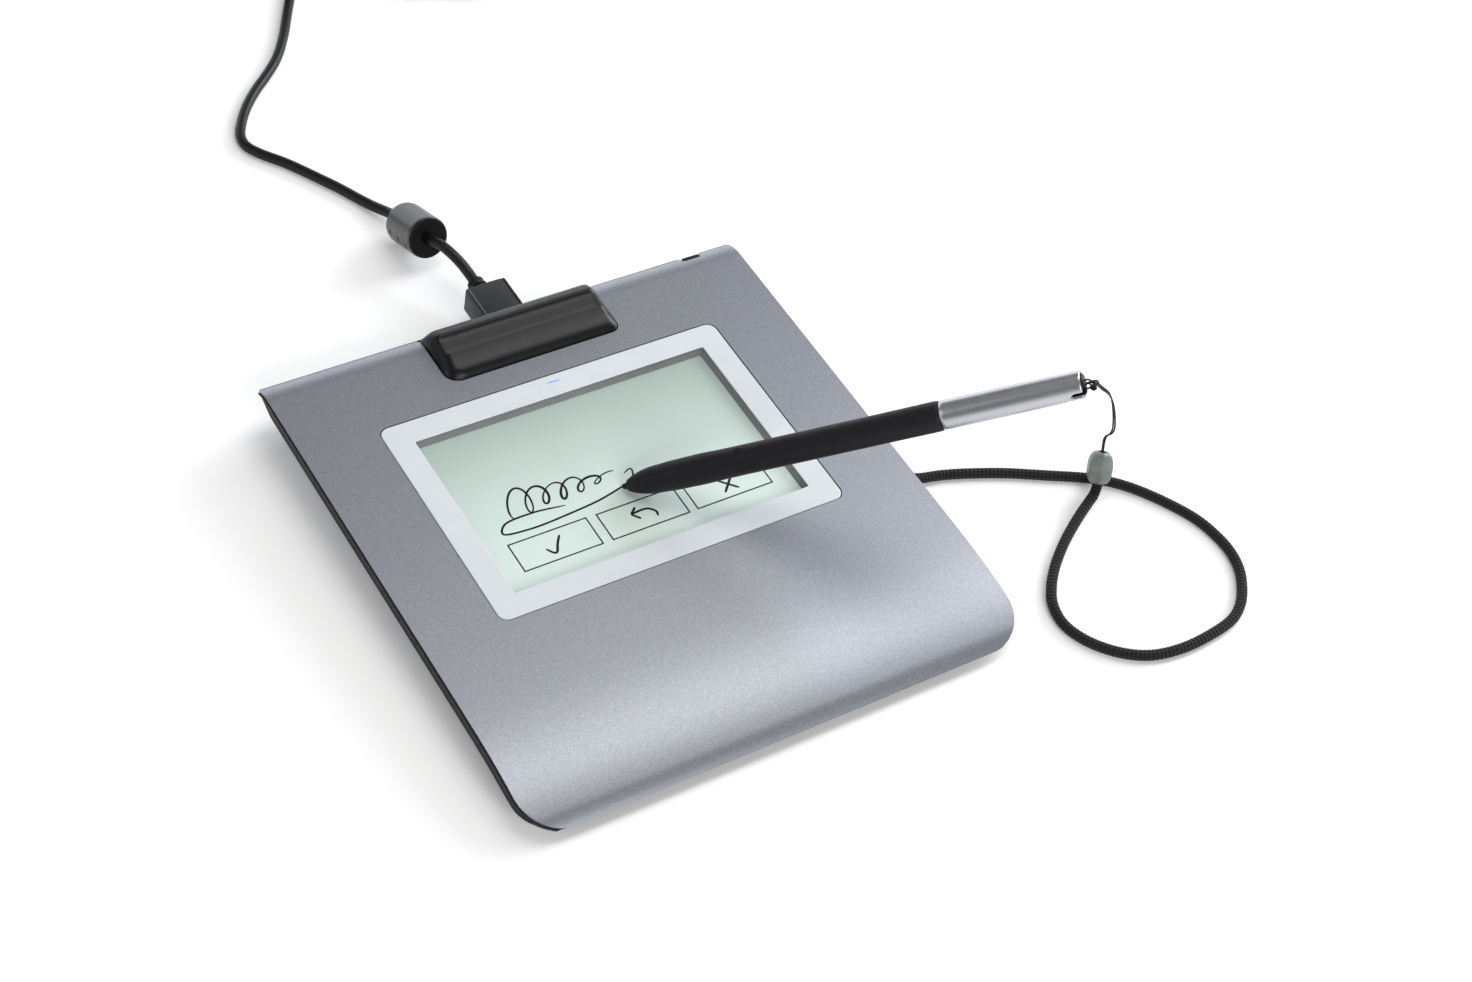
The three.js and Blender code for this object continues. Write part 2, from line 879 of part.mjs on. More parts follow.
// Bezel: a plate flush with the cover, on a wider flange that stays under it
function bezelFrame() {
  const half = bezelWide / 2;
  const plate = prism(
    roundedRectangle(-half, half, bezelFrontY, bezelBackY, sameCorners(bezelCorner)),
    -bezelThick - embed,
    0,
  );
  const flange = prism(
    roundedRectangle(
      -half - flangeWide,
      half + flangeWide,
      bezelFrontY - flangeWide,
      bezelBackY + flangeWide,
      sameCorners(bezelCorner + flangeWide),
    ),
    -bezelThick - flangeThick,
    -bezelThick,
  );
  const window = prism(
    roundedRectangle(windowLeft, windowRight, windowFrontY, windowBackY, sameCorners(windowCorner)),
    -beyond,
    beyond,
  );
  const halfLong = lightLong / 2 + gap;
  const halfWide = lightWide / 2 + gap;
  const slot = block(
    lightX - halfLong,
    lightX + halfLong,
    lightY - halfWide,
    lightY + halfWide,
    -beyond,
    beyond,
  );
  return surface(joined(plate, flange).subtract(solid(window)).subtract(solid(slot)));
}

// Screen parts, all centred under the window
function centredPlate(wide, deep, corner, top, thick) {
  return prism(
    roundedRectangle(
      screenMiddleX - wide / 2,
      screenMiddleX + wide / 2,
      screenMiddleY - deep / 2,
      screenMiddleY + deep / 2,
      sameCorners(corner),
    ),
    top - thick,
    top,
  );
}

const screenCover = () => centredPlate(screenWide, screenDeep, screenCorner, screenTopZ, screenThick);
const lcdPanel = () => centredPlate(panelWide, panelDeep, windowCorner, panelTopZ, panelThick);

function lcdFrame() {
  const wide = panelWide + gap + gap;
  const deep = panelDeep + gap + gap;
  const rim = lcdFrameRim + lcdFrameRim;
  const outer = centredPlate(wide + rim, deep + rim, screenCorner, panelTopZ, panelThick);
  const inner = centredPlate(wide, deep, windowCorner, panelTopZ + embed, panelThick + embed + embed);
  return surface(solid(outer).subtract(solid(inner)));
}

function lightGuide() {
  const halfLong = lightLong / 2;
  const halfWide = lightWide / 2;
  return block(
    lightX - halfLong,
    lightX + halfLong,
    lightY - halfWide,
    lightY + halfWide,
    -lightDeep,
    0,
  );
}

function statusLed() {
  const bottom = boardTopZ + gap;
  return block(
    lightX - ledLong / 2,
    lightX + ledLong / 2,
    lightY - ledWide / 2,
    lightY + ledWide / 2,
    bottom,
    bottom + ledHigh,
  );
}

function sensorBoard() {
  const board = centredPlate(boardWide, boardDeep, screenCorner, boardTopZ, boardThick);
  const back = screenMiddleY + boardDeep / 2;
  const connector = block(
    -ribbonHalfWide,
    ribbonHalfWide,
    back - chipWide / 2,
    back - gap,
    boardTopZ - boardThick - connectorHigh,
    boardTopZ - boardThick + embed / 2,
  );
  return surface(joined(board, connector));
}

function shieldPlate() {
  const wide = boardWide - shieldInset - shieldInset;
  const deep = boardDeep - chipWide - chipWide;
  const halfSlot = deep / 2 - shieldSlotMargin;
  let body = solid(centredPlate(wide, deep, screenCorner, shieldTopZ, shieldThick));
  for (const side of [-1, 1]) {
    const middle = screenMiddleX + (side * wide) / 4;
    const slot = block(
      middle - shieldSlotWide / 2,
      middle + shieldSlotWide / 2,
      screenMiddleY - halfSlot,
      screenMiddleY + halfSlot,
      -beyond,
      beyond,
    );
    body = body.subtract(solid(slot));
  }
  return surface(body);
}

// Main board with its chips, and the flat ribbon that reaches it
function mainBoard() {
  const bottom = mainBoardTopZ - mainBoardThick;
  const plate = block(mainBoardLeft, mainBoardRight, mainBoardFrontY, mainBoardBackY, bottom, mainBoardTopZ);
  let body = solid(plate);
  for (const x of chipXs) {
    const chip = block(
      x - chipWide / 2,
      x + chipWide / 2,
      chipY - chipWide / 2,
      chipY + chipWide / 2,
      mainBoardTopZ - mainBoardThick / 2,
      mainBoardTopZ + chipHigh,
    );
    body = body.add(solid(chip));
  }
  for (const [x, y] of boardPosts) {
    body = body.subtract(solid(upright(boardHoleRadius, x, y, -beyond, beyond, smallSides)));
  }
  return surface(body);
}

function lcdRibbon() {
  const half = ribbonThick / 2;
  const upper = ribbonLine.map(([y, z], i) => {
    const [beforeY, beforeZ] = ribbonLine[Math.max(i - 1, 0)];
    const [afterY, afterZ] = ribbonLine[Math.min(i + 1, ribbonLine.length - 1)];
    const run = Math.hypot(afterY - beforeY, afterZ - beforeZ);
    return [y, z, -(afterZ - beforeZ) / run, (afterY - beforeY) / run];
  });
  const top = upper.map(([y, z, ny, nz]) => [y + ny * half, z + nz * half]);
  const under = upper.map(([y, z, ny, nz]) => [y - ny * half, z - nz * half]);
  return sectionAcross([...under, ...top.reverse()], -ribbonHalfWide, ribbonHalfWide);
}

function boardScrew([x, y]) {
  const seat = mainBoardTopZ + gap;
  const head = upright(boardHeadRadius, x, y, seat, seat + boardHeadHigh, smallSides);
  const shank = upright(boardShankRadius, x, y, seat - boardShankLong, seat + embed, smallSides);
  return surface(joined(head, shank));
}

// Hollow metal shells of the socket and the plugs
function hollowShell(wide, high, wall, front, back, closedBack) {
  const outer = block(-wide / 2, wide / 2, front, back, -high / 2, high / 2);
  const start = closedBack ? front + wall + wall : front - embed;
  const halfWide = wide / 2 - wall;
  const halfHigh = high / 2 - wall;
  const inner = block(-halfWide, halfWide, start, back + embed, -halfHigh, halfHigh);
  return surface(solid(outer).subtract(solid(inner)));
}

function usbSocket() {
  const side = gap + socketWall;
  const wide = plugShellWide + side + side;
  const high = plugShellHigh + side + side;
  const shell = hollowShell(wide, high, socketWall, socketFrontY - socketLong, socketFrontY, true);
  return shell.translate(plugX, 0, plugZ);
}

function usbPlugShell() {
  const back = plugFrontY - gap;
  const shell = hollowShell(plugShellWide, plugShellHigh, shellWall, plugShellFrontY, back, false);
  return shell.translate(plugX, 0, plugZ);
}

// Plug body: flat top with a ridge along each edge, lower half tapering in
function usbPlug() {
  const half = plugWide / 2;
  const top = plugHigh / 2;
  const right = [
    [plugTopWide / 2, top],
    [half, top - plugRidge],
    [half, plugTaperHigh - top],
    [plugBottomWide / 2, -top],
  ];
  const left = right.map(([x, z]) => [-x, z]).reverse();
  const shape = outline([...right, ...left].reverse());
  return sectionAlong(shape, plugFrontY, plugFrontY + plugLong).translate(plugX, 0, plugZ);
}

function strainRelief(outer, sides) {
  const last = outer[outer.length - 1][0];
  const bore = [
    [last, reliefBore],
    [outer[0][0], reliefBore],
  ];
  return turnedRing([...outer, ...bore], sides);
}

// Base shell: rim plate that follows the cover, a step under it and a tub with the flat underside
function baseRim() {
  const wide = halfWidth + beyond;
  const plate = solid(sectionAcross(band(rimTopOffset, rimBottomOffset), -wide, wide));
  const rim = plate.intersect(solid(padPlan(rimInset, rimEndY)));
  const stepBand = solid(sectionAcross(band(rimBottomOffset - gap, stepBottomOffset), -wide, wide));
  const step = stepBand
    .intersect(solid(padPlan(stepInset, stepEndY)))
    .subtract(solid(padPlan(stepInset + stepWide, stepEndY - stepWide)));
  return rim.add(step);
}

function tubPlan(inset) {
  const half = tubHalfWidth - inset;
  return prism(
    roundedRectangle(-half, half, tubFrontY + inset, tubRearY - inset, sameCorners(tubCorner - inset)),
    -beyond,
    beyond,
  );
}

function underTop(offset, floorOffset) {
  const line = profile(offset).filter(([y]) => y > tubFrontY / 2);
  const front = line[0][0];
  const back = line[line.length - 1][0];
  const floor = [
    [back, floorZ(back) + floorOffset],
    [front, floorZ(front) + floorOffset],
  ];
  const wide = halfWidth + beyond;
  return solid(sectionAcross([...floor.reverse(), ...line.reverse()], -wide, wide));
}

function baseBay(inset) {
  return block(
    lockBayLeft + inset,
    lockBayRight - inset,
    lockBayFrontY + inset,
    tubRearY - inset,
    lockBayBottomZ + inset,
    lockBayTopZ,
  );
}

function baseCover() {
  const outer = underTop((rimTopOffset + rimBottomOffset) / 2, 0).intersect(solid(tubPlan(0)));
  const hollow = underTop(coverThick / 2, tubWall).intersect(solid(tubPlan(tubWall)));
  let body = baseRim().add(outer).add(solid(baseBay(0))).subtract(hollow);
  body = body.subtract(solid(baseBay(tubWall)));
  body = body.subtract(solid(block(
    lockBayLeft + tubWall,
    lockBayRight - tubWall,
    lockBayFrontY + tubWall,
    tubRearY - tubWall,
    lockBayTopZ - embed,
    beyond,
  )));
  for (const side of [-1, 1]) {
    const x = side * ribX;
    const bottom = floorZ(ribFrontY) + tubWall / 2;
    const low = floorZ(ribBackY) + tubWall / 2;
    const top = shieldTopZ - shieldThick - gap;
    const rib = sectionAcross(
      [
        [ribFrontY, bottom],
        [ribBackY, low],
        [ribBackY, top],
        [ribFrontY, top],
      ],
      x - ribThick / 2,
      x + ribThick / 2,
    );
    body = body.add(solid(rib));
  }
  for (const [x, y] of casePosts) {
    const post = upright(postRadius, x, y, floorZ(y) + embed, postTopZ, smallSides);
    const well = upright(wellRadius, x, y, -beyond, wellTopZ, smallSides);
    const hole = upright(screwHoleRadius, x, y, -beyond, beyond, smallSides);
    body = body.add(solid(post)).subtract(solid(well)).subtract(solid(hole));
  }
  for (const [x, y] of boardPosts) {
    const top = mainBoardTopZ - mainBoardThick - gap;
    const post = upright(boardPostRadius, x, y, floorZ(y) + embed, top, smallSides);
    const hole = upright(boardHoleRadius, x, y, mainBoardTopZ - boardShankLong, beyond, smallSides);
    body = body.add(solid(post)).subtract(solid(hole));
  }
  return surface(baseCuts(body));
}

function baseCuts(body) {
  const shellSide = gap + gap;
  const plugHole = block(
    plugX - plugShellWide / 2 - shellSide,
    plugX + plugShellWide / 2 + shellSide,
    socketFrontY,
    tubRearY + beyond,
    plugZ - plugShellHigh / 2 - shellSide,
    plugZ + plugShellHigh / 2 + shellSide,
  );
  const lockHole = block(
    lockX - lockSlotWide / 2 - gap,
    lockX + lockSlotWide / 2 + gap,
    socketFrontY,
    tubRearY + beyond,
    lockSlotZ - lockSlotHigh / 2 - gap,
    lockSlotZ + lockSlotHigh / 2 + gap,
  );
  const wallInside = tubHalfWidth - tubWall - embed;
  const anchorHole = upright(anchorShankRadius + gap, 0, 0, wallInside, beyond + halfWidth, smallSides);
  anchorHole.rotateX(-quarterTurn).rotateZ(-quarterTurn).translate(0, anchorY, anchorZ);
  const intoPad = padMatrix.clone().invert();
  const pockets = [footPlan(gap, 0, -beyond, footPocketZ), ...rearPads(gap, -beyond, footPocketZ)];
  let cut = body.subtract(solid(plugHole)).subtract(solid(lockHole)).subtract(solid(anchorHole));
  for (const pocket of pockets) {
    cut = cut.subtract(solid(pocket.applyMatrix4(intoPad)));
  }
  return cut;
}

// Rubber feet, level with the table
function footPlan(grow, y, bottom, top) {
  const wide = frontFootWide / 2 + grow;
  const deep = frontFootDeep / 2 + grow;
  return prism(roundedRectangle(-wide, wide, y - deep, y + deep, sameCorners(footCorner)), bottom, top);
}

function rearPads(grow, bottom, top) {
  const radius = rearFootRadius + grow;
  return [-rearFootX, rearFootX].map((x) => upright(radius, x, rearFootY, bottom, top, roundSides));
}

const frontFoot = () => footPlan(0, 0, 0, footHigh);

function caseScrew([x, y]) {
  const seat = wellTopZ - gap;
  const head = upright(screwHeadRadius, x, y, seat - screwHeadHigh, seat, smallSides);
  const shank = upright(screwShankRadius, x, y, seat - embed, screwShankTopZ, smallSides);
  const drive = upright(driveRadius, x, y, -beyond, seat - screwHeadHigh + driveDeep, beadSides);
  return surface(joined(head, shank).subtract(solid(drive)));
}

function lockPlate() {
  const back = tubRearY - tubWall - gap;
  const plate = block(
    lockX - lockPlateHalfWide,
    lockX + lockPlateHalfWide,
    back - lockPlateThick,
    back,
    lockSlotZ - lockPlateHalfHigh,
    lockSlotZ + lockPlateHalfHigh,
  );
  const slot = block(
    lockX - lockSlotWide / 2,
    lockX + lockSlotWide / 2,
    back - beyond,
    back + beyond,
    lockSlotZ - lockSlotHigh / 2,
    lockSlotZ + lockSlotHigh / 2,
  );
  return surface(solid(plate).subtract(solid(slot)));
}

// Pen tray: hollow underneath, with a ridge at the back and a flange under the cover
function penTray() {
  const [left, right] = traySides;
  const floor = sectionAcross([...trayTopLine, ...trayUnderLine].reverse(), left, right);
  const end = [...trayTopLine, ...trayEndLine].reverse();
  const ends = [
    sectionAcross(end, left, left + trayWall),
    sectionAcross(end, right - trayWall, right),
  ];
  const front = trayTopLine[0][0];
  const outer = block(
    left - trayFlange,
    right + trayFlange,
    front - trayFlange,
    trayFlangeEndY,
    trayFlangeBottomZ,
    trayFlangeTopZ,
  );
  const inner = block(left + trayWall, right - trayWall, front + trayWall, beyond + lipEndY, -beyond, beyond);
  const flange = solid(outer).subtract(solid(inner));
  return surface(joined(floor, ...ends).intersect(solid(trayPlan(0))).add(flange));
}

// Tether anchor: a bushing through the base wall and the stop inside it
function tetherAnchor() {
  const from = tubHalfWidth - tubWall - gap;
  const face = tubHalfWidth + gap;
  const bore = tetherRadius + gap;
  const rings = [
    [from, bore],
    [from, anchorShankRadius],
    [face, anchorShankRadius],
    [face, anchorFlangeRadius],
    [face + anchorFlangeThick, anchorFlangeRadius],
    [face + anchorFlangeThick, bore],
  ];
  return turnedRing(rings, smallSides).rotateZ(-quarterTurn).translate(0, anchorY, anchorZ);
}

function tetherStop() {
  const to = tetherLine[0][0] - gap;
  const ends = [
    [to - stopLong, 0],
    [to - stopLong, stopRadius],
    [to, stopRadius],
    [to, 0],
  ];
  return turned(ends, smallSides).rotateZ(-quarterTurn).translate(0, anchorY, anchorZ);
}

// Pen pieces, along the pen's own axis
function penBarrel() {
  const shell = turnedRing([...barrelOuter, ...barrelInner], roundSides);
  const half = barrelSlotWide / 2;
  const slot = block(-half, half, barrelSlotStart, beyond + barrelSlotStart, -beyond, 0);
  return surface(solid(shell).subtract(solid(slot)));
}

function penEndPlug() {
  const plug = solid(turned(endPlugProfile, roundSides));
  const groove = block(
    -endPlugCoreRadius,
    endPlugCoreRadius,
    endPlugCoreStart,
    beyond + endPlugCoreStart,
    -beyond,
    -endPlugCoreRadius,
  );
  return surface(plug.subtract(solid(groove)));
}

function penBoard() {
  const half = penBoardWide / 2;
  let body = solid(block(-half, half, penBoardFrom, penBoardTo, -penBoardThick / 2, penBoardThick / 2));
  for (const at of penChipAts) {
    const chip = block(-half / 2, half / 2, at, at + penChipLong, 0, penBoardThick / 2 + penChipHigh);
    body = body.add(solid(chip));
  }
  return surface(body);
}

// Coil: the cable winds in, out, in and out again, one layer higher each time
function coilRoute() {
  const turns = coilTurnsPerLayer * coilLayers * coilEndShare;
  const count = Math.round(turns * coilStepsPerTurn);
  const entry = coilEntryAngle + quarterTurn;
  const heading = new THREE.Vector3(Math.cos(entry), Math.sin(entry), 0);
  const points = [];
  for (let i = 0; i <= count; i += 1) {
    const turn = (turns * i) / count;
    const layer = turn / coilTurnsPerLayer;
    const within = Math.abs(layer - 2 * Math.round(layer / 2));
    const radius = coilOuterRadius - (coilOuterRadius - coilInnerRadius) * within;
    const nearest = Math.round(layer);
    const past = (layer - nearest) * coilTurnsPerLayer * 2 + 1 / 2;
    const eased = THREE.MathUtils.smoothstep(past, 0, 1);
    const between = nearest >= 1 && nearest < coilLayers;
    const level = between ? nearest - 1 + eased : Math.min(Math.floor(layer), coilLayers - 1);
    const angle = coilEntryAngle + turn * fullTurn;
    points.push([
      coilMiddle[0] + radius * Math.cos(angle),
      coilMiddle[1] + radius * Math.sin(angle),
      coilMiddle[2] + coilLayerPitch * level,
    ]);
  }
  const first = points[0];
  points.unshift(first.map((value, axis) => value - (coilLead / 2) * heading.getComponent(axis)));
  points.unshift(first.map((value, axis) => value - coilLead * heading.getComponent(axis)));
  return points;
}

function coilTail(points) {
  const last = points[points.length - 1];
  const before = points[points.length - 2];
  const along = new THREE.Vector3(last[0] - before[0], last[1] - before[1], 0).normalize();
  const tail = tailLongs.map((long, i) => [
    last[0] + along.x * long,
    last[1] + along.y * long,
    last[2] - (last[2] - tailEndZ) * tailDropShares[i],
  ]);
  return { tail, azimuth: Math.atan2(along.y, along.x) };
}

const windings = coilRoute();
const { tail, azimuth: tailAzimuth } = coilTail(windings);
const coilPoints = [...windings, ...tail];

// Least free space between two stretches of the coil, on its own points
function leastCoilGap() {
  const apart = coilStepsPerTurn / 2;
  let least = Infinity;
  coilPoints.forEach((a, i) => {
    coilPoints.slice(i + apart).forEach((b) => {
      least = Math.min(least, Math.hypot(a[0] - b[0], a[1] - b[1], a[2] - b[2]));
    });
  });
  return least - cableRadius - cableRadius;
}
console.log(`least gap in the coil: ${leastCoilGap().toFixed(2)} mm`);

function cableTie() {
  const side = cableRadius + tieClear;
  const inner = [coilInnerRadius - side, coilOuterRadius + side, coilMiddle[2] - side, coilTopZ + side];
  const outer = [inner[0] - tieThick, inner[1] + tieThick, inner[2] - tieThick, inner[3] + tieThick];
  const loop = roundedRectangle(...outer, sameCorners(tieThick + tieThick));
  const hole = roundedRectangle(...inner, sameCorners(tieThick));
  const ring = solid(sectionAlong(loop, -tieWide / 2, tieWide / 2));
  const cut = solid(sectionAlong(hole, -tieWide, tieWide));
  return surface(ring.subtract(cut)).rotateZ(tieAngle).translate(coilMiddle[0], coilMiddle[1], 0);
}

// USB A plug pieces, along the plug's own axis from the cable's end
function bigPlugBody(from) {
  const half = bigPlugWide / 2;
  const high = bigPlugHigh / 2;
  const section = roundedRectangle(-half, half, -high, high, sameCorners(bigPlugCorner));
  return sectionAlong(section, from, from + bigPlugLong);
}

function bigPlugInsert(from) {
  const half = bigShellWide / 2 - shellWall - gap;
  const top = bigShellHigh / 2 - shellWall - gap;
  return block(-half, half, from, from + bigShellLong - gap - gap, top - bigInsertHigh, top);
}

// The whole object
const signaturePad = new THREE.Group();
signaturePad.name = 'signature_pad';

const pad = new THREE.Group();
pad.name = 'pad';
pad.position.set(0, -noseToFoot, topLift);
pad.rotation.set(padTilt, 0, 0);
const relief = piece('plug_strain_relief', strainRelief(reliefProfile, smallSides), 'plug');
relief.position.set(plugX, plugFrontY + plugLong + gap, plugZ);
pad.add(
  piece('top_cover', topCover(), 'shell'),
  piece('bezel_frame', bezelFrame(), 'bezel'),
  piece('screen_cover', screenCover(), 'screen'),
  piece('lcd_panel', lcdPanel(), 'lcd'),
  piece('lcd_frame', lcdFrame(), 'base'),
  piece('light_guide', lightGuide(), 'blue'),
  piece('status_led', statusLed(), 'led'),
  piece('sensor_board', sensorBoard(), 'board'),
  piece('shield_plate', shieldPlate(), 'steel'),
  piece('main_board', mainBoard(), 'board'),
  piece('usb_socket', usbSocket(), 'steel'),
  piece('lcd_ribbon', lcdRibbon(), 'ribbon'),
  piece('base_cover', baseCover(), 'base'),
  piece('pen_tray', penTray(), 'tray'),
  ...casePosts.map((place, i) => piece(`case_screw_${i + 1}`, caseScrew(place), 'screw')),
  ...boardPosts.map((place, i) => piece(`board_screw_${i + 1}`, boardScrew(place), 'screw')),
  piece('lock_plate', lockPlate(), 'steel'),
  piece('tether_anchor', tetherAnchor(), 'rubber'),
  piece('tether_stop', tetherStop(), 'steel'),
  piece('usb_plug', usbPlug(), 'plug'),
  piece('usb_plug_shell', usbPlugShell(), 'steel'),
  relief,
);

const pen = aimed('pen', penPoint, penAzimuth, penRise);
pen.add(
  piece('pen_nib', turned(nibProfile, smallSides), 'core'),
  piece('pen_grip', turnedRing([...gripOuter, ...gripNeck, ...gripInner], roundSides), 'grip'),
  piece('pen_barrel', penBarrel(), 'barrel'),
  piece('pen_end_plug', penEndPlug(), 'core'),
  piece('nib_holder', turned(nibHolderProfile, smallSides), 'white'),
  piece('pressure_pad', turned(pressureProfile, smallSides), 'rubber'),
  piece(
    'pen_ferrite',
    sleeve(penFerriteBore, penFerriteRadius, penFerriteFrom, penFerriteTo, smallSides),
    'core_grey',
  ),
  piece('pen_coil', sleeve(penCoilBore, penCoilRadius, penCoilFrom, penCoilTo, smallSides), 'copper'),
  piece('pen_board', penBoard(), 'board'),
);
pad.add(pen);

const feet = new THREE.Group();
feet.name = 'feet';
const [leftPad, rightPad] = rearPads(0, 0, footHigh);
feet.add(
  piece('front_foot', frontFoot(), 'rubber'),
  piece('rear_foot_left', leftPad, 'rubber'),
  piece('rear_foot_right', rightPad, 'rubber'),
);

const bead = aimed('bead', pastWall(beadFoot), beadAzimuth, beadRise);
bead.add(piece('tether_bead', turnedRing([...beadOuter, ...beadInner], beadSides), 'bead'));
const tether = new THREE.Group();
tether.name = 'tether';
tether.add(
  piece('tether_cord', tube(tetherLine, tetherRadius, tubeSides, tetherSteps), 'cord'),
  piece('tether_string', tube(stringLine, stringRadius, coilSides, stringSteps), 'cord'),
  bead,
);

const ferrite = aimed('ferrite', pastExit(ferriteFace), ferriteAzimuth, ferriteRise);
ferrite.add(piece('ferrite_core', turned(ferriteProfile, roundSides), 'ferrite'));
const farPlug = aimed('far_plug', tail[tail.length - 1], tailAzimuth, 0);
const farReliefLong = bigReliefProfile[bigReliefProfile.length - 1][0];
const farRelief = piece('usb_a_strain_relief', strainRelief(bigReliefProfile, smallSides), 'plug');
farRelief.position.set(0, -farReliefLong, 0);
const farShellFront = bigPlugLong + gap + gap;
farPlug.add(
  farRelief,
  piece('usb_a_plug', bigPlugBody(gap), 'plug'),
  piece(
    'usb_a_shell',
    hollowShell(bigShellWide, bigShellHigh, shellWall, farShellFront, bigPlugLong + bigShellLong, false),
    'steel',
  ),
  piece('usb_a_insert', bigPlugInsert(farShellFront), 'white'),
);
const cable = new THREE.Group();
cable.name = 'cable';
cable.add(
  piece('cable_lead', tube(leadLine, cableRadius, tubeSides, leadSteps), 'cable'),
  ferrite,
  piece('cable_run', tube(runLine, cableRadius, tubeSides, runSteps), 'cable'),
  piece('cable_coil', tube(coilPoints, cableRadius, coilSides, coilPoints.length - 1), 'cable'),
  piece('cable_tie', cableTie(), 'rubber'),
  farPlug,
);

signaturePad.add(pad, feet, tether, cable);

export default signaturePad;
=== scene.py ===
import math

import bmesh
import bpy
import numpy as np
from mathutils import Matrix, Vector


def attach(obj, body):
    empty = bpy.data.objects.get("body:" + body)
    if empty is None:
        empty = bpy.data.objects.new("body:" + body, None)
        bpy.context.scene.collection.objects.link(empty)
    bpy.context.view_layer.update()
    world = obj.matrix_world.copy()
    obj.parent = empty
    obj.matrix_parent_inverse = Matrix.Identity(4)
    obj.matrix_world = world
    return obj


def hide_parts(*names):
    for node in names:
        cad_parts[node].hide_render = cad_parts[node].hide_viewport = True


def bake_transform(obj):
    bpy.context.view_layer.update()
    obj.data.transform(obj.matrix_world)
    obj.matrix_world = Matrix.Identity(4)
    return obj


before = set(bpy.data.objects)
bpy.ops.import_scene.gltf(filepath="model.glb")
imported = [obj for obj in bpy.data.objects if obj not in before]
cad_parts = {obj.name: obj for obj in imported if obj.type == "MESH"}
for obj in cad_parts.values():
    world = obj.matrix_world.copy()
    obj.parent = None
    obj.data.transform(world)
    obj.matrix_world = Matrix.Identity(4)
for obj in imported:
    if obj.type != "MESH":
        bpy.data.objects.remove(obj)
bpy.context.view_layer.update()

# Pad sizes are in the pad's own frame: Y from the nose, Z from the flat top.
MM = 0.001
PAD_TILT = math.radians(2.5)
PAD_PLACE = (0, -19, 10.589)
HALF_WIDTH = 80.5
QUARTER = math.pi / 2
FULL_TURN = 2 * math.pi


def turning(axis, angle):
    """Turning matrix about X, Y or Z, which are the axes 0, 1 and 2."""
    turn, first, second = np.eye(3), (axis + 1) % 3, (axis + 2) % 3
    turn[first, first] = turn[second, second] = math.cos(angle)
    turn[second, first] = math.sin(angle)
    turn[first, second] = -turn[second, first]
    return turn


TILT = turning(0, PAD_TILT)


def on_pad(points):
    """Points of the pad's own frame, tilted onto the feet and put at the pad's place."""
    return np.asarray(points, float) @ TILT.T + PAD_PLACE


def aimed(points, place, azimuth, rise):
    """Points with Y along a piece, turned up by rise, round by azimuth, and moved to a place."""
    turn = turning(2, math.radians(azimuth) - QUARTER) @ turning(0, math.radians(rise))
    return np.asarray(points, float) @ turn.T + place


# ---------------------------------------------------------------- camera
camera_data = bpy.data.cameras.new("photo_camera")
camera_data.lens = 2638.06 * 36 / 1472
camera_data.sensor_width = 36
camera_data.clip_start = 0.01
camera_data.clip_end = 30
camera = bpy.data.objects.new("photo_camera", camera_data)
bpy.context.scene.collection.objects.link(camera)
camera.matrix_world = Matrix((
    (0.844518, 0.304750, -0.440361, -0.308127),
    (-0.519843, 0.664065, -0.537383, -0.353163),
    (0.128661, 0.682748, 0.719237, 0.562443),
    (0, 0, 0, 1),
))
bpy.context.scene.camera = camera


# ---------------------------------------------------------------- mesh helpers
def quads(rows, columns, loop_rows=False, loop_columns=False):
    """Four-cornered faces of a grid; a loop joins its last row or column to the first."""
    r, c = np.meshgrid(
        np.arange(rows if loop_rows else rows - 1),
        np.arange(columns if loop_columns else columns - 1),
        indexing="ij",
    )
    r2, c2 = (r + 1) % rows, (c + 1) % columns
    corners = [r * columns + c, r * columns + c2, r2 * columns + c2, r2 * columns + c]
    return np.stack(corners, -1).reshape(-1, 4)


def put(name, shape, body, material, slot, *replaced, place=on_pad, sharp=35, turn_out=True):
    """Puts a shape, which is points in mm, faces and perhaps a UV map, into a mesh that rides on a body.
    The piece takes the given material and stands for the CAD nodes named after the slot, which it hides.
    The slot is not used. Double points become one, and faces of a closed shape point outwards."""
    points, faces, *uv = shape
    mesh = bpy.data.meshes.new(name)
    mesh.from_pydata((place(points).reshape(-1, 3) * MM).tolist(), [], [list(map(int, f)) for f in faces])
    if uv:
        layer = mesh.uv_layers.new(name="along")
        order = np.empty(len(mesh.loops), np.int32)
        mesh.loops.foreach_get("vertex_index", order)
        layer.data.foreach_set("uv", uv[0].reshape(-1, 2)[order].astype(np.float32).ravel())
    work = bmesh.new()
    work.from_mesh(mesh)
    bmesh.ops.remove_doubles(work, verts=work.verts, dist=2e-7)
    if turn_out:
        bmesh.ops.recalc_face_normals(work, faces=work.faces)
    work.to_mesh(mesh)
    work.free()
    mesh.shade_smooth()
    mesh.set_sharp_from_angle(angle=math.radians(sharp))
    mesh.materials.append(material)
    piece = bpy.data.objects.new(name, mesh)
    bpy.context.scene.collection.objects.link(piece)
    if body:
        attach(piece, body)
    if replaced:
        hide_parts(*replaced)
    return piece


def bevel(piece, width):
    """Rounds a sheet's edges, by a width in mm."""
    rounding = piece.modifiers.new("rounded_edges", "BEVEL")
    rounding.width = width * MM
    rounding.segments = 2
    rounding.limit_method = "ANGLE"
    rounding.angle_limit = math.radians(50)
    rounding.harden_normals = True


def thicken(piece, thick):
    """Gives a sheet its wall, on its inner side."""
    wall = piece.modifiers.new("wall", "SOLIDIFY")
    wall.thickness = thick * MM
    wall.offset = -1
    wall.use_even_offset = True


def round_angles(count):
    """Angles of even steps round a full turn."""
    return np.arange(count) * FULL_TURN / count


def off_angle(angle, middle):
    """How far angles are from a middle one, which is given in degrees, up to half a turn each way."""
    return (angle - math.radians(middle) + math.pi) % FULL_TURN - math.pi


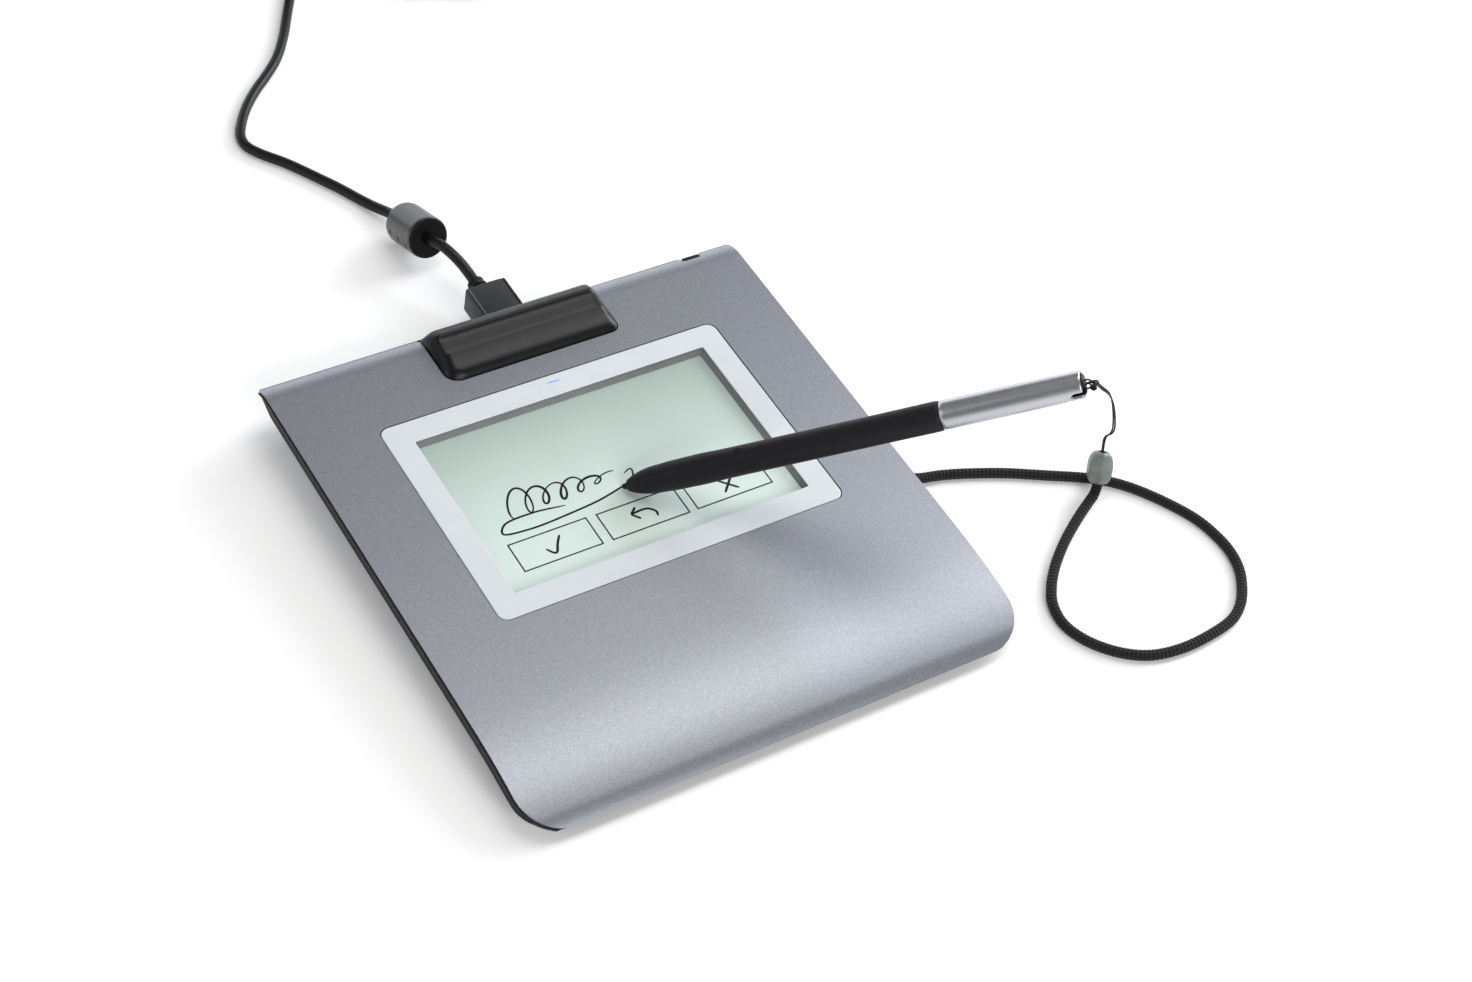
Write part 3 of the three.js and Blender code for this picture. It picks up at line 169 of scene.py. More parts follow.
def turned(profile, sides, ring=False):
    """A profile of (distance along, radius) turned about Y: x = r cos a, y = distance, z = r sin a.
    In a ring the profile closes on itself."""
    along, radius = np.asarray(profile, float).T[:, :, None]
    angle = round_angles(sides)
    points = np.stack([radius * np.cos(angle), along + 0 * angle, radius * np.sin(angle)], -1)
    return points, quads(len(profile), sides, ring, True)


def reach_of(route):
    """Distance of each point of a line from its start, measured along it."""
    return np.concatenate([[0], np.cumsum(np.linalg.norm(np.diff(route, axis=0), axis=1))])


def square_to(route, up):
    """Two directions square to a route at each of its points, across and over it."""
    tangent = np.gradient(route, axis=0)
    tangent /= np.linalg.norm(tangent, axis=1)[:, None]
    across = np.cross(tangent, up)
    across /= np.linalg.norm(across, axis=1)[:, None]
    return across, np.cross(across, tangent)


def smooth_route(points, steps, fine=24):
    """Even points on the smooth curve through a route: cubics between neighbours, whose speeds
    follow from the square roots of the distances between the route's points."""
    p = np.asarray(points, float)
    p = np.vstack([2 * p[0] - p[1], p, 2 * p[-1] - p[-2]])
    gaps = np.linalg.norm(np.diff(p, axis=0), axis=1)[:, None] ** 0.5
    a, b, c, d = p[:-3], p[1:-2], p[2:-1], p[3:]
    before, here, after = gaps[:-2], gaps[1:-1], gaps[2:]
    leave = ((b - a) / before - (c - a) / (before + here) + (c - b) / here) * here
    arrive = ((c - b) / here - (d - b) / (here + after) + (d - c) / after) * here
    t = np.linspace(0, 1, fine, endpoint=False)[:, None, None]
    bent = (3 * (c - b) - 2 * leave - arrive) * t**2 + (2 * (b - c) + leave + arrive) * t**3
    curve = (b + leave * t + bent).transpose(1, 0, 2).reshape(-1, p.shape[1])
    curve = np.vstack([curve, p[-2]])
    reach = reach_of(curve)
    even = np.linspace(0, reach[-1], steps + 1)
    return np.stack([np.interp(even, reach, column) for column in curve.T], 1)


def capped(rows):
    """Faces of a stack of loops, with a flat face on its first and last loop."""
    count, around = rows.shape[:2]
    faces = quads(count, around, loop_columns=True).tolist()
    return faces + [list(range(around)), list(range((count - 1) * around, count * around))]


def tube(route, radius, sides, up=(0, 0, 1), swell=None):
    """Rings square to a route. Each point is the route's point plus radius times
    (cos a across + sin a over); swell(distance, angle) adds to the radius."""
    across, over = square_to(route, up)
    angle, reach = round_angles(sides), reach_of(route)[:, None]
    if swell:
        radius = (radius + swell(reach, angle))[:, :, None]
    ring = np.cos(angle)[:, None] * across[:, None] + np.sin(angle)[:, None] * over[:, None]
    points = route[:, None] + radius * ring
    return points, capped(points), np.stack(np.broadcast_arrays(reach, angle / FULL_TURN), -1)


def joined(shapes):
    """Several shapes as one."""
    points, faces, maps = [], [], []
    for corners, sides, *uv in shapes:
        count = sum(map(len, points))
        points.append(corners.reshape(-1, 3))
        faces += [[i + count for i in face] for face in sides]
        maps += [each.reshape(-1, 2) for each in uv]
    return (np.vstack(points), faces, np.vstack(maps)) if maps else (np.vstack(points), faces)


def rounded_loop(box, inset, radius, arc, side):
    """A closed loop of points round a box of (left, right, front, back) that is drawn in by an inset,
    with round corners of arc points and straight sides of side points, from the front left corner on."""
    left, right, front, back = np.array(box) + (inset, -inset, inset, -inset)
    centres = np.array([
        [left + radius, front + radius],
        [right - radius, front + radius],
        [right - radius, back - radius],
        [left + radius, back - radius],
    ])
    angle = np.array([math.pi, math.pi + QUARTER, 0, QUARTER])[:, None] + np.linspace(0, QUARTER, arc)
    corners = centres[:, None] + radius * np.stack([np.cos(angle), np.sin(angle)], -1)
    share = (np.arange(1, side + 1) / (side + 1))[None, :, None]
    straight = corners[:, -1:] * (1 - share) + np.roll(corners, -1, 0)[:, :1] * share
    return np.concatenate([corners, straight], 1).reshape(-1, 2)


def box_loops(steps, box, radius, arc, side, shrink=1, least=0):
    """Loops round a box, one for each (inset, height); the corners shrink with the inset."""
    return [(rounded_loop(box, inset, max(radius - shrink * inset, least), arc, side), z) for inset, z in steps]


def stacked(loops, axis):
    """Loops of flat points, each at its own place on an axis, as rows of a grid."""
    return np.stack([np.insert(loop, axis, at, axis=1) for loop, at in loops])


def solid(loops, axis=2):
    """Shape of a stack of loops with flat ends."""
    rows = stacked(loops, axis)
    return rows, capped(rows)


def hoop(loops, axis=2):
    """Shape of a stack of loops whose last joins its first."""
    rows = stacked(loops, axis)
    return rows, quads(*rows.shape[:2], True, True)


# ---------------------------------------------------------------- finishes
def shade(r, g, b, share=1):
    """A colour of 0 to 255 as the light that it stands for, times a share."""
    c = np.array([r, g, b]) / 255
    light = np.where(c < 0.04045, c / 12.92, ((c + 0.055) / 1.055) ** 2.4) * share
    return (*np.minimum(light, 1).tolist(), 1)


class Finish:
    """A material whose nodes read Object coordinates, in mm. Where a call names inputs, _ stands for
    a space, and each is given a number, a colour or another node's output."""

    def __init__(self, name, roughness, metal=0.0):
        self.material = bpy.data.materials.new(name)
        self.material.use_nodes = True
        self.nodes = self.material.node_tree.nodes
        self.links = self.material.node_tree.links
        self.shader = self.nodes["Principled BSDF"]
        self.place = self.nodes.new("ShaderNodeTexCoord")
        self.set(Roughness=roughness, Metallic=metal)

    def feed(self, socket, value):
        """Gives an input its value or its link."""
        if isinstance(value, bpy.types.NodeSocket):
            self.links.new(value, socket)
        else:
            socket.default_value = value

    def set(self, **inputs):
        """Feeds the shader's inputs."""
        for name, value in inputs.items():
            self.feed(self.shader.inputs[name.replace("_", " ")], value)
        return self

    def node(self, kind, **inputs):
        """A new node, fed."""
        node = self.nodes.new("ShaderNode" + kind)
        for name, value in inputs.items():
            self.feed(node.inputs[name.replace("_", " ")], value)
        return node

    def coordinates(self, stretch=(1, 1, 1), source="Object"):
        """Object coordinates in mm, stretched, or those of the UV map."""
        scale = 1 / MM if source == "Object" else 1
        size = tuple(scale * s for s in stretch)
        return self.node("Mapping", Vector=self.place.outputs[source], Scale=size).outputs["Vector"]

    def noise(self, size, detail=2.0, vector=None):
        """Soft noise whose grains are about a size in mm."""
        vector = vector or self.coordinates()
        return self.node("TexNoise", Scale=1 / size, Detail=detail, Vector=vector).outputs["Fac"]

    def ramp(self, value, *stops):
        """A value turned into a colour by stops of (place, colour and perhaps its share)."""
        node = self.node("ValToRGB", Fac=value)
        while len(node.color_ramp.elements) < len(stops):
            node.color_ramp.elements.new(0.5)
        for element, (at, colour) in zip(node.color_ramp.elements, stops):
            element.position = at
            element.color = shade(*colour)
        return node.outputs["Color"]

    def span(self, value, low, high, to_low=0.0, to_high=1.0):
        """A value's range moved onto another."""
        node = self.node("MapRange", Value=value, From_Min=low, From_Max=high, To_Min=to_low, To_Max=to_high)
        return node.outputs["Result"]

    def axis(self, vector, name):
        """One coordinate of a vector."""
        return self.node("SeparateXYZ", Vector=vector).outputs[name]

    def sums(self, kind, *values):
        """One or two values put through a sum."""
        node = self.node("Math")
        node.operation = kind
        for socket, value in zip(node.inputs, values):
            self.feed(socket, value)
        return node.outputs["Value"]

    def mixed(self, share, a, b, kind="MIX"):
        """Two colours mixed by a share."""
        node = self.node("Mix")
        node.data_type = "RGBA"
        node.blend_type = kind
        for socket, value in zip((node.inputs[0], node.inputs[6], node.inputs[7]), (share, a, b)):
            self.feed(socket, value)
        return node.outputs[2]

    def bump(self, height, depth):
        """Fine relief of a depth in mm, on top of the relief that the shader has."""
        node = self.node("Bump", Height=height, Strength=1.0, Distance=depth * MM)
        previous = self.shader.inputs["Normal"].links
        if previous:
            self.links.new(previous[0].from_socket, node.inputs["Normal"])
        self.links.new(node.outputs["Normal"], self.shader.inputs["Normal"])


def moulded(name, colour, roughness, grain=0.35, depth=0.012, uneven=0.08, shine=None):
    """Moulded plastic or rubber: a fine erosion grain, slightly uneven colour and gloss. Unless its
    shine is given, a pale one shines more than a dark one."""
    finish = Finish(name, roughness)
    dark, light = (*colour, 1 - uneven), (*colour, 1 + uneven)
    finish.set(
        Base_Color=finish.ramp(finish.noise(9, detail=3), (0.3, dark), (0.7, light)),
        Roughness=finish.span(finish.noise(2.5), 0.3, 0.7, roughness * 0.92, roughness * 1.08),
        Specular_IOR_Level=shine or (0.5 if sum(colour) > 300 else 0.3),
    )
    finish.bump(finish.noise(grain, detail=3), depth)
    return finish.material


def flaked_paint():
    """Grey paint with fine metal flakes: small cells each a little lighter or darker."""
    finish = Finish("flaked_paint", 0.42, 0.8)
    flakes = finish.node("TexVoronoi", Scale=1 / 0.22, Vector=finish.coordinates()).outputs["Color"]
    tone = finish.span(finish.axis(flakes, "X"), 0, 1)
    blend = finish.mixed(0.4, tone, finish.span(finish.noise(0.55), 0.3, 0.7))
    stops = (0, (140, 143, 151)), (0.5, (154, 157, 165)), (1, (168, 171, 179))
    finish.bump(finish.noise(0.3), 0.004)
    return finish.set(Base_Color=finish.ramp(blend, *stops)).material


def satin_metal(name, colour, roughness=0.3):
    """Drawn metal: noise stretched along the piece."""
    finish = Finish(name, roughness, 1.0)
    lines = finish.noise(0.25, detail=4, vector=finish.coordinates(stretch=(1, 0.02, 1)))
    finish.bump(lines, 0.004)
    return finish.set(
        Base_Color=finish.ramp(lines, (0.25, (*colour, 0.86)), (0.75, colour)),
        Roughness=finish.span(lines, 0.2, 0.8, roughness * 0.8, roughness * 1.2),
    ).material


def reflective_screen():
    """Pale green screen with painted shade: darker towards its back edge, faintly uneven and faintly grained."""
    finish = Finish("reflective_screen", 0.22)
    along = finish.span(finish.axis(finish.coordinates(), "Y"), 49, 111)
    # Painted shade: the screen's colour darkens from its front edge to its back edge
    stops = (0, (228, 244, 237)), (0.55, (206, 222, 215)), (1, (174, 191, 183))
    uneven = finish.ramp(finish.noise(30, detail=1), (0.35, (255, 255, 255, 0.97)), (0.65, (255, 255, 255)))
    colour = finish.mixed(1.0, finish.ramp(along, *stops), uneven, "MULTIPLY")
    finish.bump(finish.noise(0.2), 0.003)
    return finish.set(Base_Color=colour, Specular_IOR_Level=0.35).material


def blue_light():
    """Light pipe that glows blue in its middle and fades towards its ends."""
    finish = Finish("blue_light", 0.3)
    off_middle = finish.sums("ADD", finish.axis(finish.coordinates(), "X"), 0.3)
    fade = finish.span(finish.sums("ABSOLUTE", off_middle), 1.2, 2.7, 1, 0.15)
    finish.bump(finish.noise(0.4), 0.01)
    return finish.set(
        Base_Color=finish.ramp(fade, (0, (205, 214, 236)), (1, (92, 138, 245))),
        Emission_Color=finish.ramp(fade, (0, (150, 175, 235)), (1, (70, 120, 250))),
        Emission_Strength=0.55,
    ).material


def braided(name, colour, pitch, ends):
    """Braid: two sets of threads that cross; the UV map holds the distance along and the turn."""
    finish = Finish(name, 0.85)
    vector = finish.coordinates(source="UV")
    turn = finish.sums("MULTIPLY", finish.axis(vector, "Y"), FULL_TURN * ends)
    run = finish.sums("MULTIPLY", finish.axis(vector, "X"), FULL_TURN / pitch)
    threads = [finish.sums("SINE", finish.sums(kind, turn, run)) for kind in ("ADD", "SUBTRACT")]
    tone = finish.span(finish.sums("MULTIPLY", *threads), -1, 1)
    # Painted shade in the hollows between the threads and painted highlight on their crests, in step with the bump
    stops = (0, (*colour, 0.25)), (0.6, colour), (1, (*colour, 2.4))
    finish.bump(tone, 0.2)
    finish.bump(finish.noise(0.12, detail=3), 0.03)
    return finish.set(
        Base_Color=finish.ramp(tone, *stops), Sheen_Weight=0.1, Sheen_Roughness=0.5, Specular_IOR_Level=0.3
    ).material


def circuit_board():
    """Green lacquer over fine copper tracks."""
    finish = Finish("circuit_board", 0.4)
    tracks = finish.node(
        "TexBrick", Vector=finish.coordinates(), Scale=1, Brick_Width=3.2, Row_Height=0.9, Mortar_Size=0.12,
        Color1=shade(24, 82, 52), Color2=shade(28, 92, 60), Mortar=shade(58, 120, 80),
    )
    finish.bump(tracks.outputs["Fac"], 0.02)
    return finish.set(Base_Color=tracks.outputs["Color"], Coat_Weight=0.3).material


def wound_copper():
    """Fine copper wire, wound side by side round the pen's core."""
    finish = Finish("wound_copper", 0.35, 1.0)
    wave = finish.node("TexWave", Vector=finish.coordinates(), Scale=1.6, Distortion=0.4).outputs["Fac"]
    finish.bump(wave, 0.05)
    # Painted shade: darker in the grooves between the turns and lighter on them, in step with the bump
    colour = finish.ramp(wave, (0.2, (120, 62, 30)), (0.8, (205, 130, 78)))
    return finish.set(Base_Color=colour).material


def clear_grey():
    """Milky grey plastic that lets some light through."""
    finish = Finish("clear_grey", 0.32)
    colour = finish.ramp(finish.noise(3), (0.3, (122, 131, 126)), (0.7, (146, 154, 149)))
    finish.bump(finish.noise(0.8), 0.02)
    return finish.set(Base_Color=colour, Transmission_Weight=0.25, IOR=1.46).material


BRAID_PITCH, BRAID_ENDS = 2.5, 6

paint = flaked_paint()
bezel_plastic = moulded("bezel_plastic", (217, 222, 226), 0.38, grain=0.3, depth=0.004, uneven=0.02)
# Grey of the window's walls and of the strip over the screen's edge: partly painted shade
gasket_grey_painted_shade = moulded("gasket_grey_painted_shade", (128, 131, 132), 0.8, grain=0.3, depth=0.02, uneven=0.06)
base_plastic = moulded("base_plastic", (52, 54, 59), 0.55, depth=0.02)
edge_plastic = moulded("edge_plastic", (33, 34, 36), 0.5, depth=0.01, shine=0.15)
# Near-black copy of the base's black plastic: painted shade under the cover's edge
black_edge_painted_shade = moulded("black_edge_painted_shade", (5, 5, 6), 0.5, depth=0.01, shine=0.1)
inner_plastic = moulded("inner_plastic", (40, 41, 45), 0.6)
tray_plastic = moulded("tray_plastic", (7, 9, 13), 0.36, grain=0.4, depth=0.004, shine=0.34)
rubber = moulded("foot_rubber", (30, 30, 32), 0.85, grain=0.5, depth=0.04)
plug_plastic = moulded("plug_plastic", (46, 48, 53), 0.5, grain=0.3, depth=0.01)
# Lighter copy of the plug's plastic: a painted highlight along the left upper edge
plug_edge_painted_highlight = moulded("plug_edge_painted_highlight", (96, 99, 104), 0.42, grain=0.3, depth=0.01)
relief_plastic = moulded("relief_plastic", (20, 21, 24), 0.4, grain=0.3, depth=0.01)
ferrite_plastic = moulded("ferrite_plastic", (5, 6, 8), 0.33, grain=0.5, depth=0.005, shine=1.0)
# Darker, duller copy of the ferrite's plastic: painted shade on its front end face
ferrite_face_painted_shade = moulded("ferrite_face_painted_shade", (4, 4, 5), 0.5, grain=0.5, depth=0.01, shine=0.2)
jacket = moulded("cable_jacket", (13, 14, 17), 0.42, grain=0.4, depth=0.008)
grip_rubber = moulded("grip_rubber", (18, 18, 21), 0.55, grain=0.16, uneven=0.05)
dark_core = moulded("dark_core", (17, 18, 20), 0.5)
white_plastic = moulded("white_plastic", (226, 226, 220), 0.45, uneven=0.03)
pale_led = moulded("pale_led", (235, 238, 226), 0.3, uneven=0.03)
ribbon_film = moulded("ribbon_film", (186, 118, 48), 0.4)
ferrite_grey = moulded("ferrite_grey", (72, 74, 78), 0.55)
panel_film = moulded("panel_film", (160, 174, 166), 0.25, uneven=0.03)
ink = moulded("screen_ink", (17, 23, 21), 0.35, grain=0.2, depth=0.002)
steel = satin_metal("drawn_steel", (176, 179, 183))
screw_steel = satin_metal("screw_steel", (92, 95, 100), 0.35)
barrel_metal = satin_metal("barrel_metal", (196, 198, 202), 0.36)
screen_finish = reflective_screen()
board_finish = circuit_board()
copper = wound_copper()
bead_plastic = clear_grey()
tether_braid = braided("tether_braid", (24, 23, 24), BRAID_PITCH, BRAID_ENDS)
string_braid = braided("string_braid", (24, 20, 21), 1.2, 4)
light_finish = blue_light()
for material, nodes in (
    (steel, ("shield_plate", "usb_socket", "lock_plate", "tether_stop", "usb_plug_shell")),
    (screw_steel, [f"{kind}_screw_{i}" for kind in ("case", "board") for i in range(1, 5)]),
    (board_finish, ("sensor_board", "main_board", "pen_board")),
    (white_plastic, ("nib_holder", "usb_a_insert")),
    (screen_finish, ["screen_cover"]),
    (panel_film, ["lcd_panel"]),
    (inner_plastic, ["lcd_frame"]),
    (pale_led, ["status_led"]),
    (ribbon_film, ["lcd_ribbon"]),
    (dark_core, ["pen_nib"]),
    (rubber, ["pressure_pad"]),
    (ferrite_grey, ["pen_ferrite"]),
    (copper, ["pen_coil"]),
):
    for node in nodes:
        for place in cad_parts[node].material_slots:
            place.material = material


# ---------------------------------------------------------------- cords
tether_route = [
    (67.3, 49.74, 6.39), (72.4, 49.74, 6.39), (77, 49.5, 5.6), (82, 48.4, 3.9), (87.9, 46.7, 2.3),
    (95.4, 45.3, 1.65), (102.4, 42.9, 1.62), (114.3, 37.7, 1.62), (125.6, 31.5, 1.62),
    (136.4, 25.4, 1.62), (141.8, 21.4, 1.62), (147, 15.9, 1.62), (152.7, 7.1, 1.62),
    (157.3, -2.9, 1.62), (158.7, -10.4, 1.62), (158.7, -17.5, 1.62), (156.8, -24.4, 1.62),
    (152.8, -30.8, 1.62), (147.9, -36, 1.62), (142.1, -39.4, 1.62), (132.6, -41.3, 1.62),
    (120.3, -41.7, 1.62), (110.2, -39.5, 1.62), (102.5, -34.3, 1.62), (96.7, -26.5, 1.62),
    (94.7, -19, 1.62), (96.3, -11.7, 1.62), (100, -6, 1.62), (105.4, -0.3, 1.62),
    (113.1, 5.9, 1.62), (119.5, 10.2, 1.62), (125.8, 14, 1.65), (130.6, 16.6, 1.9),
    (133.4, 17.9, 2.9), (135.05, 19.2, 5.1), (135.87, 20.54, 7.89), (136.15, 21, 8.84),
]
string_route = [
    (98.54, 3.51, 77.14), (99.6, 2.77, 77.83), (101.4, 2.6, 77.3), (103.2, 3.3, 74.9),
    (106.8, 4.3, 70.9), (111, 5.8, 66.4), (116.4, 8.6, 59.4), (121.8, 11.6, 51.3),
    (128.1, 15, 39.9), (132.2, 17.6, 31.6), (136, 21.5, 24.5), (138.5, 24.7, 19.6),
    (138.75, 25.2, 17.4), (138.07, 24.15, 15.38), (137.6, 23.4, 14),
]
lead_route = [
    (2.35, 164.85, 9.6), (2.35, 168.85, 9.77), (2.15, 172.6, 10.5), (1.3, 176.8, 11.9),
    (-0.3, 181.4, 13.4), (-1.6, 184.9, 13.95), (-2.6, 187.6, 13.5), (-2.87, 190.65, 12.4),
]
run_route = [
    (-3.18, 208.2, 6.03), (-3.25, 211.4, 4.87), (-4.3, 216.4, 3.3), (-6.4, 221.6, 2.2),
    (-9.1, 227.6, 1.75), (-12.2, 234.1, 1.72), (-15.6, 240.2, 1.72), (-22.6, 252.1, 1.72),
    (-28.5, 260.1, 1.72), (-30.8, 265.1, 1.72), (-30.3, 270.4, 1.72), (-26.9, 276.9, 1.72),
    (-22.1, 283.5, 1.72), (-16.1, 289.9, 1.72), (-8.9, 296.4, 1.72), (-2.2, 303.3, 1.72),
    (4.6, 312.9, 1.72), (11, 323.6, 1.72), (17, 333.6, 1.75), (25.4, 346.7, 2.4), (31.8, 356.6, 2.98),
]

COIL_X, COIL_Y, COIL_START = 18.4, 380.2, math.radians(-32.6)
COIL_TURNS, LAYER_TURNS, LAYERS = 9.78, 2.5, 4
CABLE_RADIUS, TETHER_RADIUS, STRING_RADIUS = 1.7, 1.56, 0.27
FERRITE_PLACE, FERRITE_AZIMUTH, FERRITE_RISE = (-2.88, 190.95, 12.3), 91, -20


def on_ferrite(points):
    """Points with Y along the ferrite sleeve, in the row frame."""
    return aimed(points, FERRITE_PLACE, FERRITE_AZIMUTH, FERRITE_RISE)


def coil_route():
    """Coil in four layers of 2.5 turns. The radius goes in and out again by 10 mm a layer, and the
    height climbs 4 mm in the half turn where it reverses; angle = start + turn x 360 degrees."""
    turn = np.linspace(0, COIL_TURNS, round(COIL_TURNS * 24) + 1)
    layer = turn / LAYER_TURNS
    radius = 24 - 10 * np.abs(layer - 2 * np.round(layer / 2))
    nearest = np.floor(layer + 0.5)
    past = np.clip((layer - nearest) * 5 + 0.5, 0, 1)
    eased = past * past * (3 - 2 * past)
    between = (nearest >= 1) & (nearest < LAYERS)
    level = np.where(between, nearest - 1 + eased, np.minimum(np.floor(layer), LAYERS - 1))
    angle = COIL_START + turn * FULL_TURN
    wound = np.stack([COIL_X + radius * np.cos(angle), COIL_Y + radius * np.sin(angle), 3 + 4 * level], 1)
    entry = COIL_START + QUARTER
    heading = np.array([math.cos(entry), math.sin(entry), 0])
    along = (wound[-1] - wound[-2]) * (1, 1, 0)
    along /= np.linalg.norm(along)
    longs = np.array([7, 15, 24, 33, 42, 47, 51])
    drops = np.array([0.03, 0.2, 0.55, 0.86, 0.99, 1, 1])
    tail = wound[-1] + along * longs[:, None] - np.outer(drops * (wound[-1][2] - 4), [0, 0, 1])
    lead_in = wound[0] - np.outer([6, 3], heading)
    return np.vstack([lead_in, wound, tail]), along


coil_points, tail_heading = coil_route()
cable_points = np.vstack([lead_route, on_ferrite([(0, 4.5, 0), (0, 9, 0), (0, 13.5, 0)]), run_route, coil_points])
cable_line = smooth_route(cable_points, 1150, fine=12)
cable = put(
    "usb_cable", tube(cable_line, CABLE_RADIUS, 14), "usb_cable", jacket, "cable_jacket",
    "cable_lead", "cable_run", "cable_coil", place=np.asarray,
)


def braid_swell(along, angle):
    """Small bumps where the braid's threads cross, which run as in the braid's finish."""
    turn, run = BRAID_ENDS * angle, FULL_TURN * along / BRAID_PITCH
    return 0.085 * np.sin(turn + run) * np.sin(turn - run)


tether_line = smooth_route(tether_route, 1350)
tether = put(
    "tether_braid_cord", tube(tether_line, TETHER_RADIUS, 24, swell=braid_swell), "pad", tether_braid, "black_cord",
    "tether_cord", place=np.asarray, sharp=80,
)


def doubled(line, radius, spread, twist, up):
    """Two strands round one line: each is off it by spread, and turns once in a twist's length."""
    across, over = square_to(line, up)
    angle = reach_of(line)[:, None] * FULL_TURN / twist
    return joined(
        tube(line + spread * (np.cos(angle + start) * across + np.sin(angle + start) * over), radius, 10, up)
        for start in (0, math.pi)
    )


string_line = smooth_route(string_route, 220)
string = put(
    "tether_string_doubled", doubled(string_line, STRING_RADIUS, 0.3, 190, (-0.45, 0.89, 0.1)), None,
    string_braid, "black_cord", "tether_string", place=np.asarray, sharp=80,
)
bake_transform(string)


def string_loops():
    """Three thin strands from the pen's slot to the knot, and the knot, a short thick twist."""
    strands = [
        (0.26, [(97.2, 3.9, 77.2), (98.6, 3.9, 78.1), (99.6, 3.2, 78.0), (100.4, 2.2, 77.3), (100.6, 1.7, 76.7)]),
        (0.26, [(97.4, 3.4, 76.6), (98.9, 3.1, 77.2), (99.6, 2.4, 76.9), (99.9, 1.9, 76.5), (100.5, 1.6, 76.4)]),
        (0.26, [(97.2, 2.9, 75.9), (98.6, 2.3, 76.2), (99.6, 2.1, 76.6), (100.5, 1.9, 76.8), (101.2, 2.1, 76.9)]),
        (0.55, [(99.7, 2.3, 77.2), (100.2, 1.6, 76.8), (100.3, 1.5, 76.1), (99.8, 2.0, 76.0), (99.8, 2.5, 76.6)]),
    ]
    return joined(tube(smooth_route(route, 26), radius, 10, (0.3, 0.5, 0.8)) for radius, route in strands)


loops = put(
    "string_loops_and_knot", string_loops(), "pen", string_braid, "black_cord", place=np.asarray, sharp=80
)


# ---------------------------------------------------------------- shell
LIP_START, LIP_RADIUS, LIP_TURN = 159.8, 14, 0.52
LIP_END = LIP_START + LIP_RADIUS * math.sin(LIP_TURN)
NOSE_EDGE, NOSE_RADIUS, NOSE_TURN = -1.7, 12, 0.75
ROLL_RADIUS, ROLL_TURN = 85, 0.306
FRONT_CORNER = 12.1
NOSE_Y = NOSE_EDGE + NOSE_RADIUS * math.sin(NOSE_TURN)
ROLL_END = NOSE_Y - NOSE_RADIUS * math.sin(ROLL_TURN)
ROLL_DROP = ROLL_RADIUS * (1 - math.cos(ROLL_TURN))
ROLL_LONG = 44
ROLL_POWER = math.tan(ROLL_TURN) * ROLL_LONG / ROLL_DROP
NOSE_Z = -ROLL_DROP - NOSE_RADIUS * math.cos(ROLL_TURN)
BEZEL, BEZEL_CORNER = (-56.45, 56.45, 61.2, 137.6), 3.0
WINDOW, WINDOW_CORNER = (-48.45, 48.55, 68.8, 129.65), 0.4
OPENING_FRONT, OPENING_BACK, OPENING_HALF, OPENING_CORNER = 60.9, 137.9, 56.75, BEZEL_CORNER + 0.3
TRAY_FRONT, NOTCH_FRONT = 145.7, 164.5
TRAY_LEFT, TRAY_RIGHT = -28.75, 29.15
REAR_CORNER = 0.6
LEFT_REVEAL = 0.45


def lip_height(y):
    """Height of the cover behind its front roll: flat, then an arc of 14 mm down the rear lip."""
    past = np.clip(np.asarray(y) - LIP_START, 0, None)
    return np.sqrt(LIP_RADIUS**2 - past**2) - LIP_RADIUS


def arc_edge(y, at, radius, straight, sign):
    """Side of an opening whose corner arc of a radius starts at y = at and reaches the straight side."""
    into = np.clip(radius - (y - at), 0, radius)
    return straight - sign * (radius - np.sqrt(np.clip(radius**2 - into**2, 0, None)))


def roll_height(y):
    """Height and tilt of the cover at a distance from the nose, with its rear lip."""
    past = np.clip(ROLL_END + ROLL_LONG - y, 0, ROLL_LONG) / ROLL_LONG
    slope = ROLL_DROP * ROLL_POWER / ROLL_LONG * past ** (ROLL_POWER - 1)
    turn = np.arcsin(np.clip((NOSE_Y - y) / NOSE_RADIUS, 0, math.sin(NOSE_TURN)))
    on_nose = y < ROLL_END
    height = np.where(on_nose, NOSE_Z + NOSE_RADIUS * np.cos(turn), -ROLL_DROP * past**ROLL_POWER)
    return height + lip_height(np.minimum(y, LIP_END)), np.where(on_nose, turn, np.arctan(slope))


def cover_rows():
    """Rows of the cover as (y, z): the nose's arc, the roll, the flat top and the rear lip."""
    nose = NOSE_TURN - (NOSE_TURN - ROLL_TURN) * np.linspace(0, 1, 14) ** 1.3
    roll = ROLL_END + ROLL_LONG * np.linspace(0, 1, 34)[1:] ** 1.2
    corner = 1 - np.cos(np.linspace(0, QUARTER, 9))
    y = np.concatenate([
        NOSE_Y - NOSE_RADIUS * np.sin(nose), roll, [50, 56], OPENING_FRONT + OPENING_CORNER * corner,
        [80, 100, 120], OPENING_BACK - OPENING_CORNER * corner[::-1], [140, 143], TRAY_FRONT + 4.8 * corner,
        [153, 156, 158.4], np.linspace(LIP_START, 164.4, 8), NOTCH_FRONT + 1.2 * corner,
        np.linspace(165.9, LIP_END, 4),
    ])
    return y, roll_height(y)[0]


